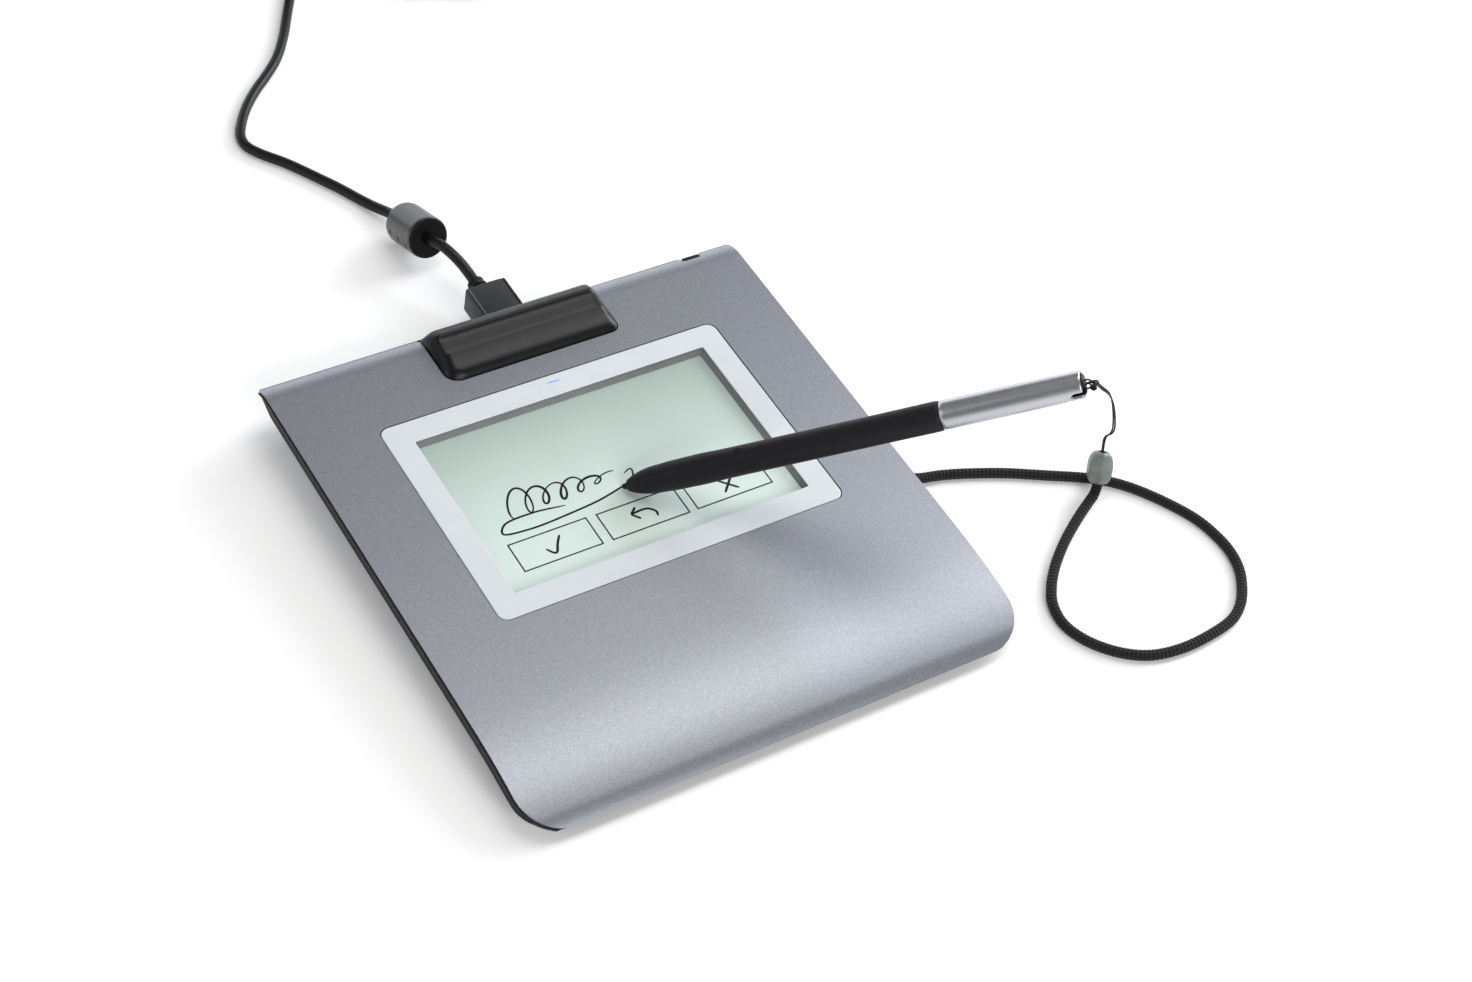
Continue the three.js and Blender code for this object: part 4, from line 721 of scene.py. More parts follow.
def top_cover():
    """Cover sheet. Columns follow the sides of the openings, x = share between two borders that move
    with y, and the faces inside the bezel opening, the tray opening and the lock notch are left out."""
    y, z = cover_rows()
    front = np.clip(FRONT_CORNER + NOSE_EDGE - y, 0, FRONT_CORNER)
    rear = np.clip(y - (LIP_END - REAR_CORNER), 0, REAR_CORNER)
    half = HALF_WIDTH - FRONT_CORNER + np.sqrt(FRONT_CORNER**2 - front**2)
    half += np.sqrt(REAR_CORNER**2 - rear**2) - REAR_CORNER
    sides = [
        arc_edge(at, OPENING_FRONT, OPENING_CORNER, OPENING_HALF, 1)
        for at in (y, OPENING_FRONT + OPENING_BACK - y)
    ]
    beside = (y > OPENING_FRONT) & (y < OPENING_BACK)
    bezel = np.where(beside, np.minimum(*sides), OPENING_HALF - OPENING_CORNER)
    slide = np.clip((y - OPENING_BACK) / (TRAY_FRONT - OPENING_BACK), 0, 1)
    ahead = y < TRAY_FRONT
    left = np.where(ahead, -bezel * (1 - slide) - 24.25 * slide, arc_edge(y, TRAY_FRONT, 4.8, TRAY_LEFT - 0.3, -1))
    right = np.where(ahead, bezel * (1 - slide) + 26.15 * slide, arc_edge(y, TRAY_FRONT, 3.3, TRAY_RIGHT + 0.3, 1))
    glide = np.clip((y - 150.5) / 14, 0, 1)
    ahead = y < NOTCH_FRONT
    notch_left = np.where(ahead, 60 + 3.55 * glide, arc_edge(y, NOTCH_FRONT, 1.2, 62.35, -1))
    notch_right = np.where(ahead, 66 + 2.15 * glide, arc_edge(y, NOTCH_FRONT, 1.2, 69.35, 1))
    borders = [LEFT_REVEAL - half, left, right, notch_left, notch_right, half]
    counts = (14, 26, 12, 6, 6)
    x = np.concatenate([
        a[:, None] + (b - a)[:, None] * np.arange(n) / n for a, b, n in zip(borders, borders[1:], counts)
    ] + [half[:, None]], 1)
    points = np.stack(np.broadcast_arrays(x, y[:, None], z[:, None]), -1)
    faces = quads(*x.shape)
    row, column = np.divmod(faces[:, 0], x.shape[1])
    middle, block = (y[row] + y[row + 1]) / 2, np.repeat(np.arange(5), counts)[column]
    over_opening = (middle > OPENING_FRONT) & (middle < OPENING_BACK) | (middle > TRAY_FRONT)
    return points, faces[~((block == 1) & over_opening | (block == 3) & (middle > NOTCH_FRONT))]


cover = put("top_cover_skin", top_cover(), "pad", paint, "metallic_shell", "top_cover", turn_out=False)
thicken(cover, 0.5)
bevel(cover, 0.16)


STRIP_TOP = 0.55


def strip_height(y, depth):
    """Height of a point of the edge strips that is a depth below the cover. The strips keep a share of
    their depth: less at the nose and over the rear lip."""
    height, tilt = roll_height(y)
    share = 1 - 0.68 * np.clip((16 - y) / 16, 0, 1) ** 1.5 - 0.8 * np.clip((y - 157) / 7, 0, 1) ** 1.5
    return height - (STRIP_TOP + (depth - STRIP_TOP) * share) / np.cos(tilt)


def edge_strip(section, back):
    """Strip under the cover's edge: a section of (inset, depth below the cover) carried round both
    sides and the nose. At the nose it draws in behind the cover's edge and gets about a third as high."""
    arc, straight = np.linspace(0, QUARTER, 26), HALF_WIDTH - FRONT_CORNER
    side = np.concatenate([np.linspace(back, 156, 21)[:-1], np.linspace(156, 14, 50)])
    across = np.linspace(-1, 1, 42)[1:-1] * straight
    angle = np.concatenate([
        np.full(len(side), math.pi), math.pi + arc, np.full(len(across), 3 * QUARTER), 3 * QUARTER + arc,
        np.full(len(side), FULL_TURN),
    ])
    outer = np.full(len(side) + len(arc), straight)
    nose = np.full(len(angle) - 2 * len(side), FRONT_CORNER + NOSE_EDGE)
    middle_x = np.concatenate([-outer, across, outer])
    middle_y = np.concatenate([side, nose, side[::-1]])
    ahead = np.clip(-np.sin(angle), 0, 1) ** 2
    rows = []
    for inset, depth in section:
        radius = FRONT_CORNER - inset - 0.8 * ahead
        x, y = middle_x + radius * np.cos(angle), middle_y + radius * np.sin(angle)
        rows.append(np.stack([x, y, strip_height(y, depth)], 1))
    points = np.stack(rows)
    deep, long = points.shape[:2]
    ends = [[i * long + end for i in range(deep)] for end in (0, long - 1)]
    return points, quads(deep, long, loop_rows=True).tolist() + ends


upper_section = [(1.6, 0.56), (0.16, 0.58), (0.06, 0.68), (0.06, 2.9), (0.14, 2.98), (1.4, 3.0)]
lower_section = [(1.4, 3.05), (0.2, 3.07), (0.12, 3.17), (0.12, 4.2), (0.35, 4.4), (1.6, 4.42)]
put("upper_edge_strip", edge_strip(upper_section, LIP_END - 0.5), "pad", edge_plastic, "black_plastic")
# Lower strip: the base's lower step, its near-black partly the black plastic and partly painted shade under the
# cover's edge
put("lower_edge_strip", edge_strip(lower_section, LIP_END - 1), "pad", black_edge_painted_shade, "black_plastic")
# Thin black rods under the rear lip paint the dark shade line along its edge
for side, left, right in (("left", -79.6, 61.8), ("right", 70.1, 80)):
    ends = [(x, LIP_END + 0.05, lip_height(LIP_END) - 0.42) for x in (left, right)]
    put(f"rear_shade_rod_{side}", tube(np.linspace(*ends, 60), 0.36, 12)[:2], "pad", black_edge_painted_shade, "black_plastic")


def fitted_base():
    """Base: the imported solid's own points, merged, with the step under the nose drawn up by as much
    as the edge strips are squeezed there."""
    work = bmesh.new()
    work.from_mesh(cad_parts["base_cover"].data)
    bmesh.ops.remove_doubles(work, verts=work.verts, dist=2e-6)
    points = (np.array([corner.co for corner in work.verts]) / MM - PAD_PLACE) @ TILT
    faces = [[corner.index for corner in face.verts] for face in work.faces]
    work.free()
    x, y, z = points.T
    near = (y < 9.5) | ((np.abs(x) > 79) & (y < 150))
    points[:, 2] = np.where(near, np.maximum(z, strip_height(y, 4.3)), z)
    return points, faces


put("base_shell", fitted_base(), "pad", base_plastic, "black_plastic", "base_cover", sharp=30)

# Black insert that fills the lock notch, over the lock plate: a dark piece that paints the shade in the notch's recess
lock_steps = [(0, -2.2), (0, -1.5), (0.1, -1.38), (0.3, -1.34)]
lock_loops = box_loops(lock_steps, (62.65, 69.05, 164.8, 166.4), 0.7, 8, 3, shrink=0.6)
put("lock_slot_shade_fill", solid(lock_loops), "pad", dark_core, "black_plastic")

# Bezel ring: its outer edge is rounded by 0.3 mm, and its thin inner edge stands free of the gasket
outer_steps = [(0, -1.3), (0, -0.32), (0.09, -0.1), (0.3, 0), (0.36, 0), (0.8, 0)]
inner_steps = [
    (-0.6, 0), (-0.26, 0), (-0.22, 0), (-0.05, -0.07), (0, -0.24), (-0.06, -0.42), (-1.2, -0.5), (-1.2, -1.3)
]
bezel_loops = box_loops(outer_steps, BEZEL, BEZEL_CORNER, 10, 8) + box_loops(inner_steps, WINDOW, WINDOW_CORNER, 10, 8)
put("bezel_plate", hoop(bezel_loops), "pad", bezel_plastic, "light_bezel", "bezel_frame")

# Grey foam between the bezel and the screen, partly painted shade: its grey stands in for the shade down the window's
# walls, and its wall, which starts just behind the window's edge and slopes inwards by 1.1 mm on its way down to the
# screen, paints the soft shadow along the screen's edge
gasket_steps = [
    (-0.2, -0.55), (-0.05, -0.75), (0.75, -2.3), (0.9, -2.55), (-2.2, -2.55), (-2.2, -1.35), (-1.3, -1.35),
    (-1.1, -0.55),
]
gasket_loops = box_loops(gasket_steps, WINDOW, 0.3, 10, 8, least=0.25)
put("window_gasket", hoop(gasket_loops), "pad", gasket_grey_painted_shade, "dark_plastic")

# Light pipe, domed a little over the bezel
light_steps = [(0, -5), (0, 0), (0.05, 0.03), (0.14, 0.05)]
light_loops = box_loops(light_steps, (-3.3, 2.9, 134.62, 135.08), 0.23, 6, 2, shrink=0.9)
put("light_pipe", solid(light_loops), "pad", light_finish, "light_blue", "light_guide")


def tray_surface():
    """Pen tray. The height follows the side profile of a domed front panel, a crease, a groove and a
    rear ridge, comes down to the cover at both ends, and the groove fades out 3 mm before them."""
    panel = smooth_route([
        (-0.1, -1.6), (-0.08, -0.9), (0.05, -0.2), (0.35, 0.45), (0.8, 1.0), (1.4, 1.5), (2.1, 1.92), (3, 2.3),
        (4.2, 2.67), (5.6, 3.03), (7, 3.34), (8.2, 3.58),
    ], 60)
    crease = np.array([(8.25, 3.4), (8.29, 3.05), (8.36, 2.9), (8.46, 2.86)])
    groove = smooth_route([
        (8.7, 2.88), (9.6, 3.12), (11, 3.42), (12.4, 3.72), (13.4, 4.0), (14, 4.3), (14.4, 4.55), (14.7, 4.7),
        (15, 4.73), (15.7, 4.52), (16.6, 4.2), (17.5, 3.8), (18.2, 3.32), (18.9, 2.6), (19.6, 1.5), (20.2, 0.3),
        (20.8, -1.2), (21.2, -3.1),
    ], 96)
    along, high = np.vstack([panel, crease, groove]).T
    y = TRAY_FRONT + 0.3 + along
    rear = 3 - np.sqrt(9 - np.clip(along - 18.2, 0, 3) ** 2)
    left = arc_edge(along, 0, 4.5, TRAY_LEFT, -1) + rear * 0.7
    right = arc_edge(along, 0, 3, TRAY_RIGHT, 1) - rear * 1.3
    even = np.linspace(0, 1, 161)
    share = 0.6 * (1 - np.cos(even * math.pi)) / 2 + 0.4 * even
    x = left[:, None] + (right - left)[:, None] * share
    near_left, near_right = x - left[:, None], right[:, None] - x
    fade = np.sin(np.clip(np.minimum(near_left / 4.2, near_right / 3.4), 0, 1) * QUARTER) ** 0.75
    hull = np.maximum(high, np.interp(along, [8.2, 14.9], [3.58, 4.72], left=-9, right=-9))
    rim = np.minimum(lip_height(np.minimum(y, LIP_END)) + 0.12, hull)[:, None]
    ends = np.minimum(near_left - 2.6, near_right - 2.2)
    reach = np.clip((ends - 0.9 * np.clip((along - 13) / 3, 0, 1)[:, None] ** 2) / 2.2, 0, 1)
    z = rim + (hull[:, None] - rim) * fade - (hull - high)[:, None] * np.sin(reach * QUARTER)
    points = np.stack(np.broadcast_arrays(x, y[:, None], z), -1)
    points = np.concatenate([points[:, :1] - [0, 0, 1.4], points, points[:, -1:] - [0, 0, 1.4]], 1)
    return points, quads(*points.shape[:2])


tray = put(
    "pen_rest_tray", tray_surface(), "pad", tray_plastic, "black_plastic", "pen_tray", sharp=50, turn_out=False
)
thicken(tray, 0.9)


# ---------------------------------------------------------------- ink on the screen
BOX_LINE, SIGN_LINE = 0.45, 0.75
INK_Z = -2.585


def stroke(line, width):
    """Flat stroke along a line of (x, y) points, just over the screen: the line plus and minus half
    its width square to it."""
    tangent = np.gradient(line, axis=0)
    tangent /= np.linalg.norm(tangent, axis=1)[:, None] + 1e-9
    side = np.stack([-tangent[:, 1], tangent[:, 0]], 1) * np.broadcast_to(width / 2, len(line))[:, None]
    rows = np.insert(np.stack([line + side, line - side], 1), 2, INK_Z, axis=2)
    return rows, quads(len(line), 2)


def tapered(line, width, ends=0.25):
    """A line and its widths, which narrow at both ends."""
    share = np.linspace(0, 1, len(line))
    return line, width * (ends + (1 - ends) * np.sqrt(np.clip(1 - np.abs(2 * share - 1) ** 8, 0, 1)))


def box_frame(left, right, front, back):
    """Four strokes round a box."""
    h = BOX_LINE / 2
    sides = [
        [(left - h, front), (right + h, front)], [(left - h, back), (right + h, back)],
        [(left, front), (left, back)], [(right, front), (right, back)],
    ]
    return [(np.linspace(*ends, 12), BOX_LINE) for ends in sides]


boxes = [(-41.1, -16.0, 76.1, 86.4), (-12.65, 12.7, 76.1, 86.2), (15.6, 41.0, 76.2, 86.2)]
signs = [
    smooth_route([(-31.9, 80.9), (-30.3, 78.7), (-29.6, 78.6), (-27.9, 81.3), (-25.9, 84.0)], 40),
    np.linspace((26.1, 78.3), (31.0, 83.3), 24),
    np.linspace((26.1, 83.3), (31.0, 78.3), 24),
    smooth_route([(3.6, 78.6), (3.9, 80.4), (2.2, 82.2), (0, 82.5), (-3.0, 82.2)], 50),
    np.linspace((-3.4, 82.1), (-1.0, 84.2), 20),
    np.linspace((-3.4, 82.2), (-1.4, 79.7), 20),
]
box_strokes = [side for box in boxes for side in box_frame(*box)] + [tapered(sign, SIGN_LINE) for sign in signs]

turn = np.linspace(0, 5.6, 500)
tall = 4.9 - 0.62 * turn + 0.5 * np.sin(turn * 2.3)
scribble = np.stack([
    -33.5 + 5.6 * turn - 2.5 * np.sin(FULL_TURN * turn + 0.5),
    99.5 - 0.35 * turn - tall * np.cos(FULL_TURN * turn),
], 1)
sweep = smooth_route([
    (2.5, 96.8), (5.2, 97.6), (4.2, 94.6), (-6, 91.2), (-20, 89.6), (-33, 89.2), (-40.4, 90.6), (-38.5, 93.4),
    (-29, 94.2), (-19, 92.9),
], 260)
pressure = 0.66 + 0.16 * np.sin(turn * 4.6) + 0.05 * np.sin(turn * 12.7)
for name, lines in {
    "screen_boxes": box_strokes,
    "pen_scribble": [tapered(scribble, pressure, 0.3), tapered(sweep, 0.66, 0.3)],
}.items():
    put(name, joined(stroke(*line) for line in lines), "pad", ink, "lcd", turn_out=False)


# ---------------------------------------------------------------- pen
PEN_PLACE, PEN_AZIMUTH, PEN_RISE = (-1.05, 91.85, -1.84), -33.72, 29.35
SLOT_TURN = math.radians(-85)
SLOT_FRONT, SLOT_HALF = 132.9, 1.1
AROUND, SLOT_COLUMNS = 72, 8


def on_pen(points):
    """Points with Y along the pen from the nib's point, in the row frame."""
    return on_pad(aimed(points, PEN_PLACE, PEN_AZIMUTH, PEN_RISE))


def grip():
    """Grip: a smooth profile turned about the pen, with one small pip on its upper side, a bump of
    0.42 mm that falls off from its middle."""
    outer = smooth_route([
        (1.7, 1.15), (1.75, 1.38), (2.1, 1.72), (2.8, 2.1), (4, 2.62), (5, 2.98), (6, 3.28), (8, 3.72), (10, 4),
        (13, 4.15), (16, 4.35), (20, 4.42), (25, 4.5), (32, 4.34), (45, 4.3), (60, 4.3), (80, 4.3), (95, 4.34),
        (95.7, 4.3), (96, 4.1),
    ], 190)
    inner = [(96, 2.95), (104, 2.95), (104, 2.1), (90, 2.1), (89, 3.3), (14, 3.3), (9, 2.9), (7, 1.2)]
    points, faces = turned(np.vstack([outer, inner]), AROUND, ring=True)
    angle = round_angles(AROUND)
    along, beside = (points[:, :, 1] - 37) / 1.3, off_angle(angle, 97) * 4.3 / 0.9
    push = 0.42 * np.clip(1 - along**2 - beside**2, 0, 1) ** 0.6
    push[len(outer):] = 0
    return points + push[:, :, None] * np.stack([np.cos(angle), 0 * angle, np.sin(angle)], -1), faces


put("soft_pen_grip", grip(), "pen", grip_rubber, "soft_grip", "pen_grip", place=on_pen, sharp=45)


def barrel():
    """Barrel sheet: rows along the pen, columns round it. A slot with a round end, 2.2 mm wide, is
    open at the rear: its border is the angle whose arc has the slot's half width. The slot is made on
    the lower side and then turned towards the camera."""
    profile = smooth_route([
        (96.3, 3.95), (96.5, 4.15), (97, 4.22), (104, 4.21), (112, 4.2), (120, 4.16), (130, 4.05), (SLOT_FRONT, 4.0),
    ], 60)
    slot_y = SLOT_FRONT + SLOT_HALF * (1 - np.cos(np.linspace(0, QUARTER, 8)))[1:]
    rest = np.concatenate([slot_y, [134.4, 135, 135.6, 135.9, 136.15, 136.32, 136.4]])
    radius = np.interp(rest, [SLOT_FRONT, 135.9, 136.15, 136.32, 136.4], [4.0, 3.97, 3.94, 3.86, 3.74])
    y, r = np.concatenate([profile, np.stack([rest, radius], 1)]).T[:, :, None]
    into = np.clip(SLOT_HALF - (y - SLOT_FRONT), 0, SLOT_HALF)
    half = np.arcsin(np.maximum(np.sqrt(np.clip(SLOT_HALF**2 - into**2, 0, None)), 0.02) / r)
    others = AROUND - SLOT_COLUMNS
    angle = np.concatenate([
        -QUARTER - half + 2 * half * np.arange(SLOT_COLUMNS) / SLOT_COLUMNS,
        -QUARTER + half + (FULL_TURN - 2 * half) * np.arange(others) / others,
    ], 1)
    points = np.stack(np.broadcast_arrays(r * np.cos(angle), y, r * np.sin(angle)), -1)
    faces = quads(len(y), AROUND, loop_columns=True)
    row, column = np.divmod(faces[:, 0], AROUND)
    open_slot = (column < SLOT_COLUMNS) & ((y[row, 0] + y[row + 1, 0]) / 2 > SLOT_FRONT)
    return points @ turning(1, SLOT_TURN).T, faces[~open_slot][:, ::-1]


barrel_piece = put(
    "metal_pen_barrel", barrel(), "pen", barrel_metal, "pen_metal", "pen_barrel",
    place=on_pen, sharp=45, turn_out=False,
)
thicken(barrel_piece, 0.75)
bevel(barrel_piece, 0.12)


def end_plug():
    """Dark core of the barrel's end: a turned plug that is flattened under the slot for the string."""
    profile = smooth_route([
        (126, 0), (126, 2.6), (127, 3.05), (136.3, 3.05), (136.9, 2.8), (137.1, 2.2), (137.1, 0)
    ], 60)
    points, faces = turned(profile, 48)
    x, y, z = np.moveaxis(points, -1, 0)
    z[:] = np.where((y > 129) & (np.abs(x) < 1.15), np.maximum(z, -SLOT_HALF), z)
    return points @ turning(1, SLOT_TURN).T, faces


put("barrel_end_core", end_plug(), "pen", dark_core, "black_plastic", "pen_end_plug", place=on_pen, sharp=40)


# ---------------------------------------------------------------- bead, anchor and tie
def bead():
    """Bead: six flat sides with round edges. The radius is the turned profile's, times
    0.93 / cos of the angle from the middle of a side, limited near the corners."""
    outer = smooth_route([
        (0.9, 2.15), (0.95, 2.6), (1.3, 3.05), (2.1, 3.5), (3.6, 3.82), (5.4, 3.9), (7.2, 3.85), (8.8, 3.45),
        (9.9, 2.8), (10.4, 2.2), (10.5, 1.7),
    ], 60)
    inner = [(10.5, 1.25), (10.2, 1.15), (4.8, 1.15), (4.8, 2.0), (1.1, 2.0)]
    points, faces = turned(np.vstack([outer, inner]), 72, ring=True)
    side = FULL_TURN / 6
    facet = np.minimum(0.93 / np.cos((round_angles(72) + side / 2) % side - side / 2), 1.04)
    facet = (np.roll(facet, 1) + facet + np.roll(facet, -1)) / 3
    points[:len(outer), :, ::2] *= facet[:, None]
    return points, faces


bead_piece = put(
    "six_sided_bead", bead(), "pad", bead_plastic, "bead_plastic", "tether_bead",
    place=lambda points: aimed(points, (135.05, 19.2, 5.1), 58.6, 60.6), sharp=60,
)

anchor_profile = smooth_route([
    (67.3, 1.9), (67.3, 2.3), (69.8, 2.3), (69.8, 2.95), (70, 3.0), (70.7, 2.98), (70.95, 2.8), (71, 2.4),
    (71, 2.0), (70.6, 1.9),
], 60)
put(
    "tether_bushing", turned(anchor_profile[:-1], 48, ring=True), "pad", rubber, "rubber", "tether_anchor",
    place=lambda points: on_pad(points @ turning(2, -QUARTER).T + (0, 68.5, -7.2)), sharp=40,
)


def coil_tie():
    """Strap round the coil's bundle: a rounded rectangle's loop, as wide as the strap, with a small
    wave so that it isn't perfectly flat."""
    bundle = (14, 24, 3, 15)
    outer = rounded_loop(bundle, -2.45, 1.9, 8, 10)
    inner = rounded_loop(bundle, -1.9, 1.5, 8, 10)
    centre = outer.mean(0)
    crown = [(-2.5, 0.15), (-2.4, 0.0), (-1.2, -0.06), (0, -0.08), (1.2, -0.06), (2.4, 0.0), (2.5, 0.15)]
    rows = [(centre + (outer - centre) * (1 - drawn / 8), at) for at, drawn in crown]
    return hoop(rows + [(inner, 2.4), (inner, -2.4)], axis=1)


tie = put(
    "coil_strap", coil_tie(), "usb_cable", rubber, "rubber", "cable_tie",
    place=lambda points: points @ turning(2, math.radians(57.4)).T + (COIL_X, COIL_Y, 0), sharp=40,
)


# ---------------------------------------------------------------- USB plugs and ferrite
PLUG_X, PLUG_Z = 2.35, -9
PLUG_HALF, PLUG_TALL = 6.4, 4.65
PLUG_WIDER, PLUG_SHIFT = 1.07, 0.45


def micro_plug():
    """Plug body: a section with a raised top panel, a groove along each upper edge and a lower half
    that tapers in, carried along Y with its ends drawn in by 0.35 mm."""
    right = np.array([
        (4.75, PLUG_TALL), (4.95, 4.6), (5.08, 4.25), (5.5, 4.25), (5.62, 4.5), (5.85, 4.55), (6.28, 4.1),
        (PLUG_HALF, 3.8), (PLUG_HALF, 0), (PLUG_HALF, -3.95), (6.28, -4.3), (6.05, -4.55), (5.7, -PLUG_TALL),
    ])
    section = np.vstack([right, right[::-1] * [-1, 1]])
    steps = [(163.0, 0.35), (163.1, 0.12), (163.4, 0), (182.7, 0), (183.05, 0.12), (183.2, 0.4)]
    return solid([
        (section * (1 - inset / np.array([PLUG_HALF, PLUG_TALL])) * (PLUG_WIDER, 1) + (PLUG_X + PLUG_SHIFT, PLUG_Z), y)
        for y, inset in steps
    ], axis=1)


micro = put("micro_plug_body", micro_plug(), "usb_cable", plug_plastic, "plug_plastic", "usb_plug", sharp=28)
# Faces of the groove on the left upper edge take the lighter plastic: a painted highlight
micro.data.materials.append(plug_edge_painted_highlight)
for face in micro.data.polygons:
    across, along, up = (np.array(face.center) / MM - PAD_PLACE) @ TILT
    if -6.3 < across - PLUG_X - PLUG_SHIFT < -5.3 and 163.5 < along < 182.6 and up > -4.95:
        face.material_index = 1

relief_line = smooth_route([
    (0, 2.0), (0.02, 2.7), (0.3, 2.92), (0.9, 2.92), (1.15, 2.75), (1.3, 2.35), (1.6, 2.2), (1.9, 2.35),
    (2.1, 2.75), (2.35, 2.86), (2.75, 2.86), (3.0, 2.7), (3.15, 2.35), (3.45, 2.2), (3.75, 2.35), (3.95, 2.6),
    (4.3, 2.68), (4.8, 2.62), (5, 2.3), (5, 1.9),
], 120)
relief = put(
    "ribbed_relief", turned(np.vstack([relief_line, [(4, 1.75), (1, 1.75)]]), 40, ring=True), "usb_cable",
    relief_plastic, "plug_plastic", "plug_strain_relief",
    place=lambda points: on_pad(points + (PLUG_X, 183.5, PLUG_Z)), sharp=60,
)


def ferrite():
    """Ferrite: a turned sleeve. Three small round dimples on its left side are dips in the radius of
    0.5 mm that end 0.8 mm from their middles, and a fine parting line runs along each side."""
    profile = smooth_route([
        (0.25, 1.8), (0.1, 2.2), (0.0, 3.7), (0.0, 5.7), (0.06, 6.25), (0.3, 6.6), (0.9, 6.79), (4, 6.8), (9, 6.8),
        (13, 6.8), (15.6, 6.74), (16.6, 6.45), (17.4, 5.8), (17.9, 4.8), (18, 3.7), (18, 1.8),
    ], 130)
    points, faces = turned(profile, 96, ring=True)
    angle, side = round_angles(96), 6.4
    wide = np.hypot(points[:, :, 0], points[:, :, 2])
    dip = 0.06 * np.exp(-((np.abs(np.sin(angle - math.radians(20))) * side / 0.25) ** 2))
    for at, where in ((3.2, 196), (8.2, 189), (13.2, 183)):
        gone = np.hypot(points[:, :, 1] - at, off_angle(angle, where) * side)
        dip = dip + 0.5 * np.clip(1 - (gone / 0.8) ** 4, 0, 1)
    points[:, :, ::2] *= (1 - np.where(wide > 5, dip, 0) / wide)[:, :, None]
    return points, faces


ferrite_piece = put(
    "ferrite_sleeve", ferrite(), "usb_cable", ferrite_plastic, "ferrite", "ferrite_core",
    place=on_ferrite, sharp=40,
)
# The front end face takes the darker, duller copy of the plastic: painted shade
ferrite_piece.data.materials.append(ferrite_face_painted_shade)
start, ahead = (Vector(point) for point in on_ferrite([(0, 0, 0), (0, 1, 0)]))
for face in ferrite_piece.data.polygons:
    if (face.center / MM - start).dot(ahead - start) < 0.3 and face.normal.dot(ahead - start) < -0.5:
        face.material_index = 1


def on_tail(points):
    """Points with Y along the big plug from the cable's end, in the row frame."""
    return aimed(points, coil_points[-1], math.degrees(math.atan2(tail_heading[1], tail_heading[0])), 0)


def moulded_body(long, wide, high, power, waist):
    """Plug body: rings of a squared oval, x = w sgn(cos a) |cos a|^(2/p), z the same with h and sin a;
    the width and height follow a table of shares along the body."""
    angle = round_angles(56)
    wave = np.stack([np.cos(angle), np.sin(angle)], 1)
    oval = np.sign(wave) * np.abs(wave) ** (2 / power) * (wide / 2, high / 2)
    share = np.array([0, 0.01, 0.03, 0.07, 0.2, 0.35, 0.5, 0.65, 0.8, 0.93, 0.975, 0.993, 1])
    drawn = [0.86, 0.93, 0.975, 1, 1, waist, waist, waist, 1, 1, 0.975, 0.94, 0.88]
    return solid([(oval * d, at) for d, at in zip(drawn, 0.3 + share * long)], axis=1)


big_body = put(
    "usb_a_body", moulded_body(20, 15.6, 7.6, 5, 0.965), "usb_cable", plug_plastic, "plug_plastic",
    "usb_a_plug", place=on_tail, sharp=40,
)
big_relief_line = smooth_route([
    (0, 1.95), (0.05, 2.25), (2.2, 2.6), (2.5, 2.3), (3, 2.15), (3.4, 2.3), (3.7, 2.75), (5, 2.9), (5.4, 2.5),
    (5.8, 2.35), (6.2, 2.5), (6.5, 3.0), (8.6, 3.2), (9, 3.0), (9, 1.95),
], 110)
big_relief = put(
    "usb_a_relief", turned(np.vstack([big_relief_line, [(6, 1.75), (3, 1.75)]]), 40, ring=True), "usb_cable",
    relief_plastic, "plug_plastic", "usb_a_strain_relief",
    place=lambda points: on_tail(points - (0, 9, 0)), sharp=60,
)


def metal_shell():
    """Metal shell of the big plug: a folded sheet round the plug's mouth, with two square holes in
    its upper and lower side; columns follow the holes' sides and faces inside them are left out."""
    across = np.array([-1, -0.75, -0.58, -0.22, 0, 0.22, 0.58, 0.75, 1]) * 5.6
    bend = np.array([(5.9, 1.95), (6.0, 1.7), (6.0, 0), (6.0, -1.7), (5.9, -1.95)])
    top, under = (np.column_stack([line, np.full(9, z)]) for line, z in ((across, 2.25), (across[::-1], -2.25)))
    loop = np.vstack([top, bend, under, bend[::-1] * [-1, 1]])
    rows = stacked([(loop, y) for y in (20.6, 21, 24, 27.5, 30.2, 34, 38.2, 38.5)], axis=1)
    faces = quads(*rows.shape[:2], loop_columns=True)
    row, column = np.divmod(faces[:, 0], len(loop))
    hole = np.isin(column % (len(loop) // 2), (2, 5)) & (row == 3)
    return rows, faces[~hole][:, ::-1]


shell = put(
    "usb_a_metal_shell", metal_shell(), "usb_cable", steel, "steel", "usb_a_shell",
    place=on_tail, sharp=30, turn_out=False,
)
thicken(shell, 0.3)


# ---------------------------------------------------------------- feet
FOOT_Y, FOOT_RADIUS = 128, 6.5
foot_steps = [(0.7, 0.0), (0.3, 0.08), (0.08, 0.3), (0, 0.6), (0, 2.2)]
front_loops = box_loops(foot_steps, (-30, 30, -4, 4), 3.9, 12, 8)
put("front_rubber_foot", solid(front_loops), "pad", rubber, "rubber", "front_foot", place=np.asarray)
disc = np.stack([np.cos(round_angles(56)), np.sin(round_angles(56))], 1)
for x, name in ((-47, "left"), (47, "right")):
    loops_up = [((x, FOOT_Y) + (FOOT_RADIUS - inset) * disc, z) for inset, z in foot_steps]
    put(
        f"rear_{name}_rubber_foot", solid(loops_up), "pad", rubber, "rubber", f"rear_foot_{name}", place=np.asarray
    )


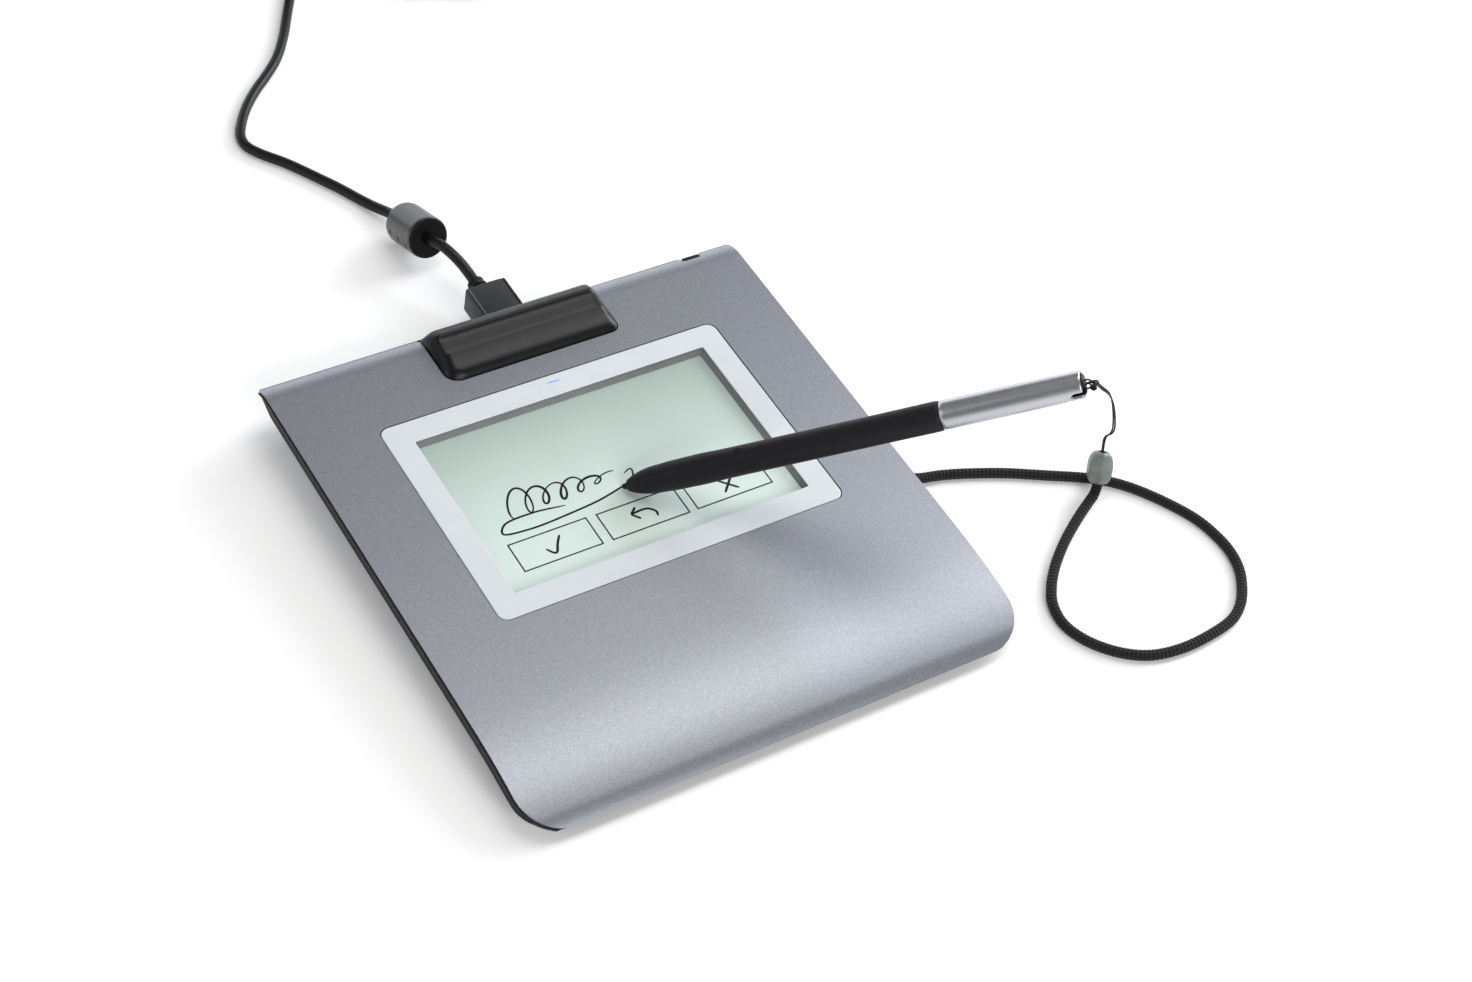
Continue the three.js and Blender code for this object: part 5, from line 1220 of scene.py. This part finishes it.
# ---------------------------------------------------------------- floor, backdrop and lights
def floor_finish():
    """Pale floor that the camera, metal and glass see as nearly white, and that keeps the shadow."""
    finish = Finish("pale_floor", 1.0)
    rays = finish.node("LightPath").outputs
    seen = finish.sums("MAXIMUM", rays["Is Camera Ray"], rays["Is Glossy Ray"])
    seen = finish.sums("MAXIMUM", seen, rays["Is Transmission Ray"])
    glow = finish.node("Emission", Color=(1, 1, 1, 1), Strength=finish.sums("MULTIPLY", seen, 0.14))
    both = finish.node("AddShader")
    finish.feed(both.inputs[0], finish.node("BsdfDiffuse", Color=(0.98, 0.98, 0.98, 1)).outputs[0])
    finish.feed(both.inputs[1], glow.outputs[0])
    finish.feed(finish.nodes["Material Output"].inputs["Surface"], both.outputs[0])
    finish.nodes.remove(finish.shader)
    return finish.material


FLOOR_HALF, FLOOR_Z = 6, -0.00005
corners = [(x * FLOOR_HALF, y * FLOOR_HALF, FLOOR_Z) for x, y in ((-1, -1), (1, -1), (1, 1), (-1, 1))]
floor_mesh = bpy.data.meshes.new("floor")
floor_mesh.from_pydata(corners, [], [(0, 1, 2, 3)])
floor_mesh.materials.append(floor_finish())
floor = bpy.data.objects.new("floor", floor_mesh)
bpy.context.scene.collection.objects.link(floor)

world = bpy.data.worlds.new("studio")
bpy.context.scene.world = world
world.use_nodes = True
sky = world.node_tree.nodes["Background"]
sky.inputs["Color"].default_value = (0.94, 0.97, 1.05, 1)
sky.inputs["Strength"].default_value = 0.15


def soft_lamp(name, place, aim, wide, deep, power, colour):
    """Large soft lamp at a place in metres, turned towards a point."""
    data = bpy.data.lights.new(name, "AREA")
    data.shape = "RECTANGLE"
    data.size, data.size_y = wide, deep
    data.energy = power
    data.color = colour
    lamp = bpy.data.objects.new(name, data)
    bpy.context.scene.collection.objects.link(lamp)
    lamp.location = place
    lamp.rotation_euler = (Vector(aim) - Vector(place)).to_track_quat("-Z", "Y").to_euler()


soft_lamp("overhead_lamp", (0.36, 0.17, 0.8), (0.36, 0.171, 0), 0.9, 0.34, 3.4, (1, 0.985, 0.94))
soft_lamp("back_lamp", (0.23, 1.28, 0.26), (0, 0.05, 0), 1.8, 0.5, 4.8, (0.97, 0.985, 1.03))
soft_lamp("left_lamp", (-1.2, 0.3, 0.6), (0, 0.05, 0), 0.8, 0.8, 2.8, (1, 1, 1))
soft_lamp("front_lamp", (-0.1, -1.3, 0.7), (0, 0.05, 0), 0.8, 0.8, 12, (1, 0.99, 0.98))
soft_lamp("right_lamp", (1.3, 0.3, 0.6), (0, 0.05, 0), 0.8, 0.8, 15.5, (0.96, 0.98, 1.03))

bpy.context.scene.view_settings.view_transform = "Standard"
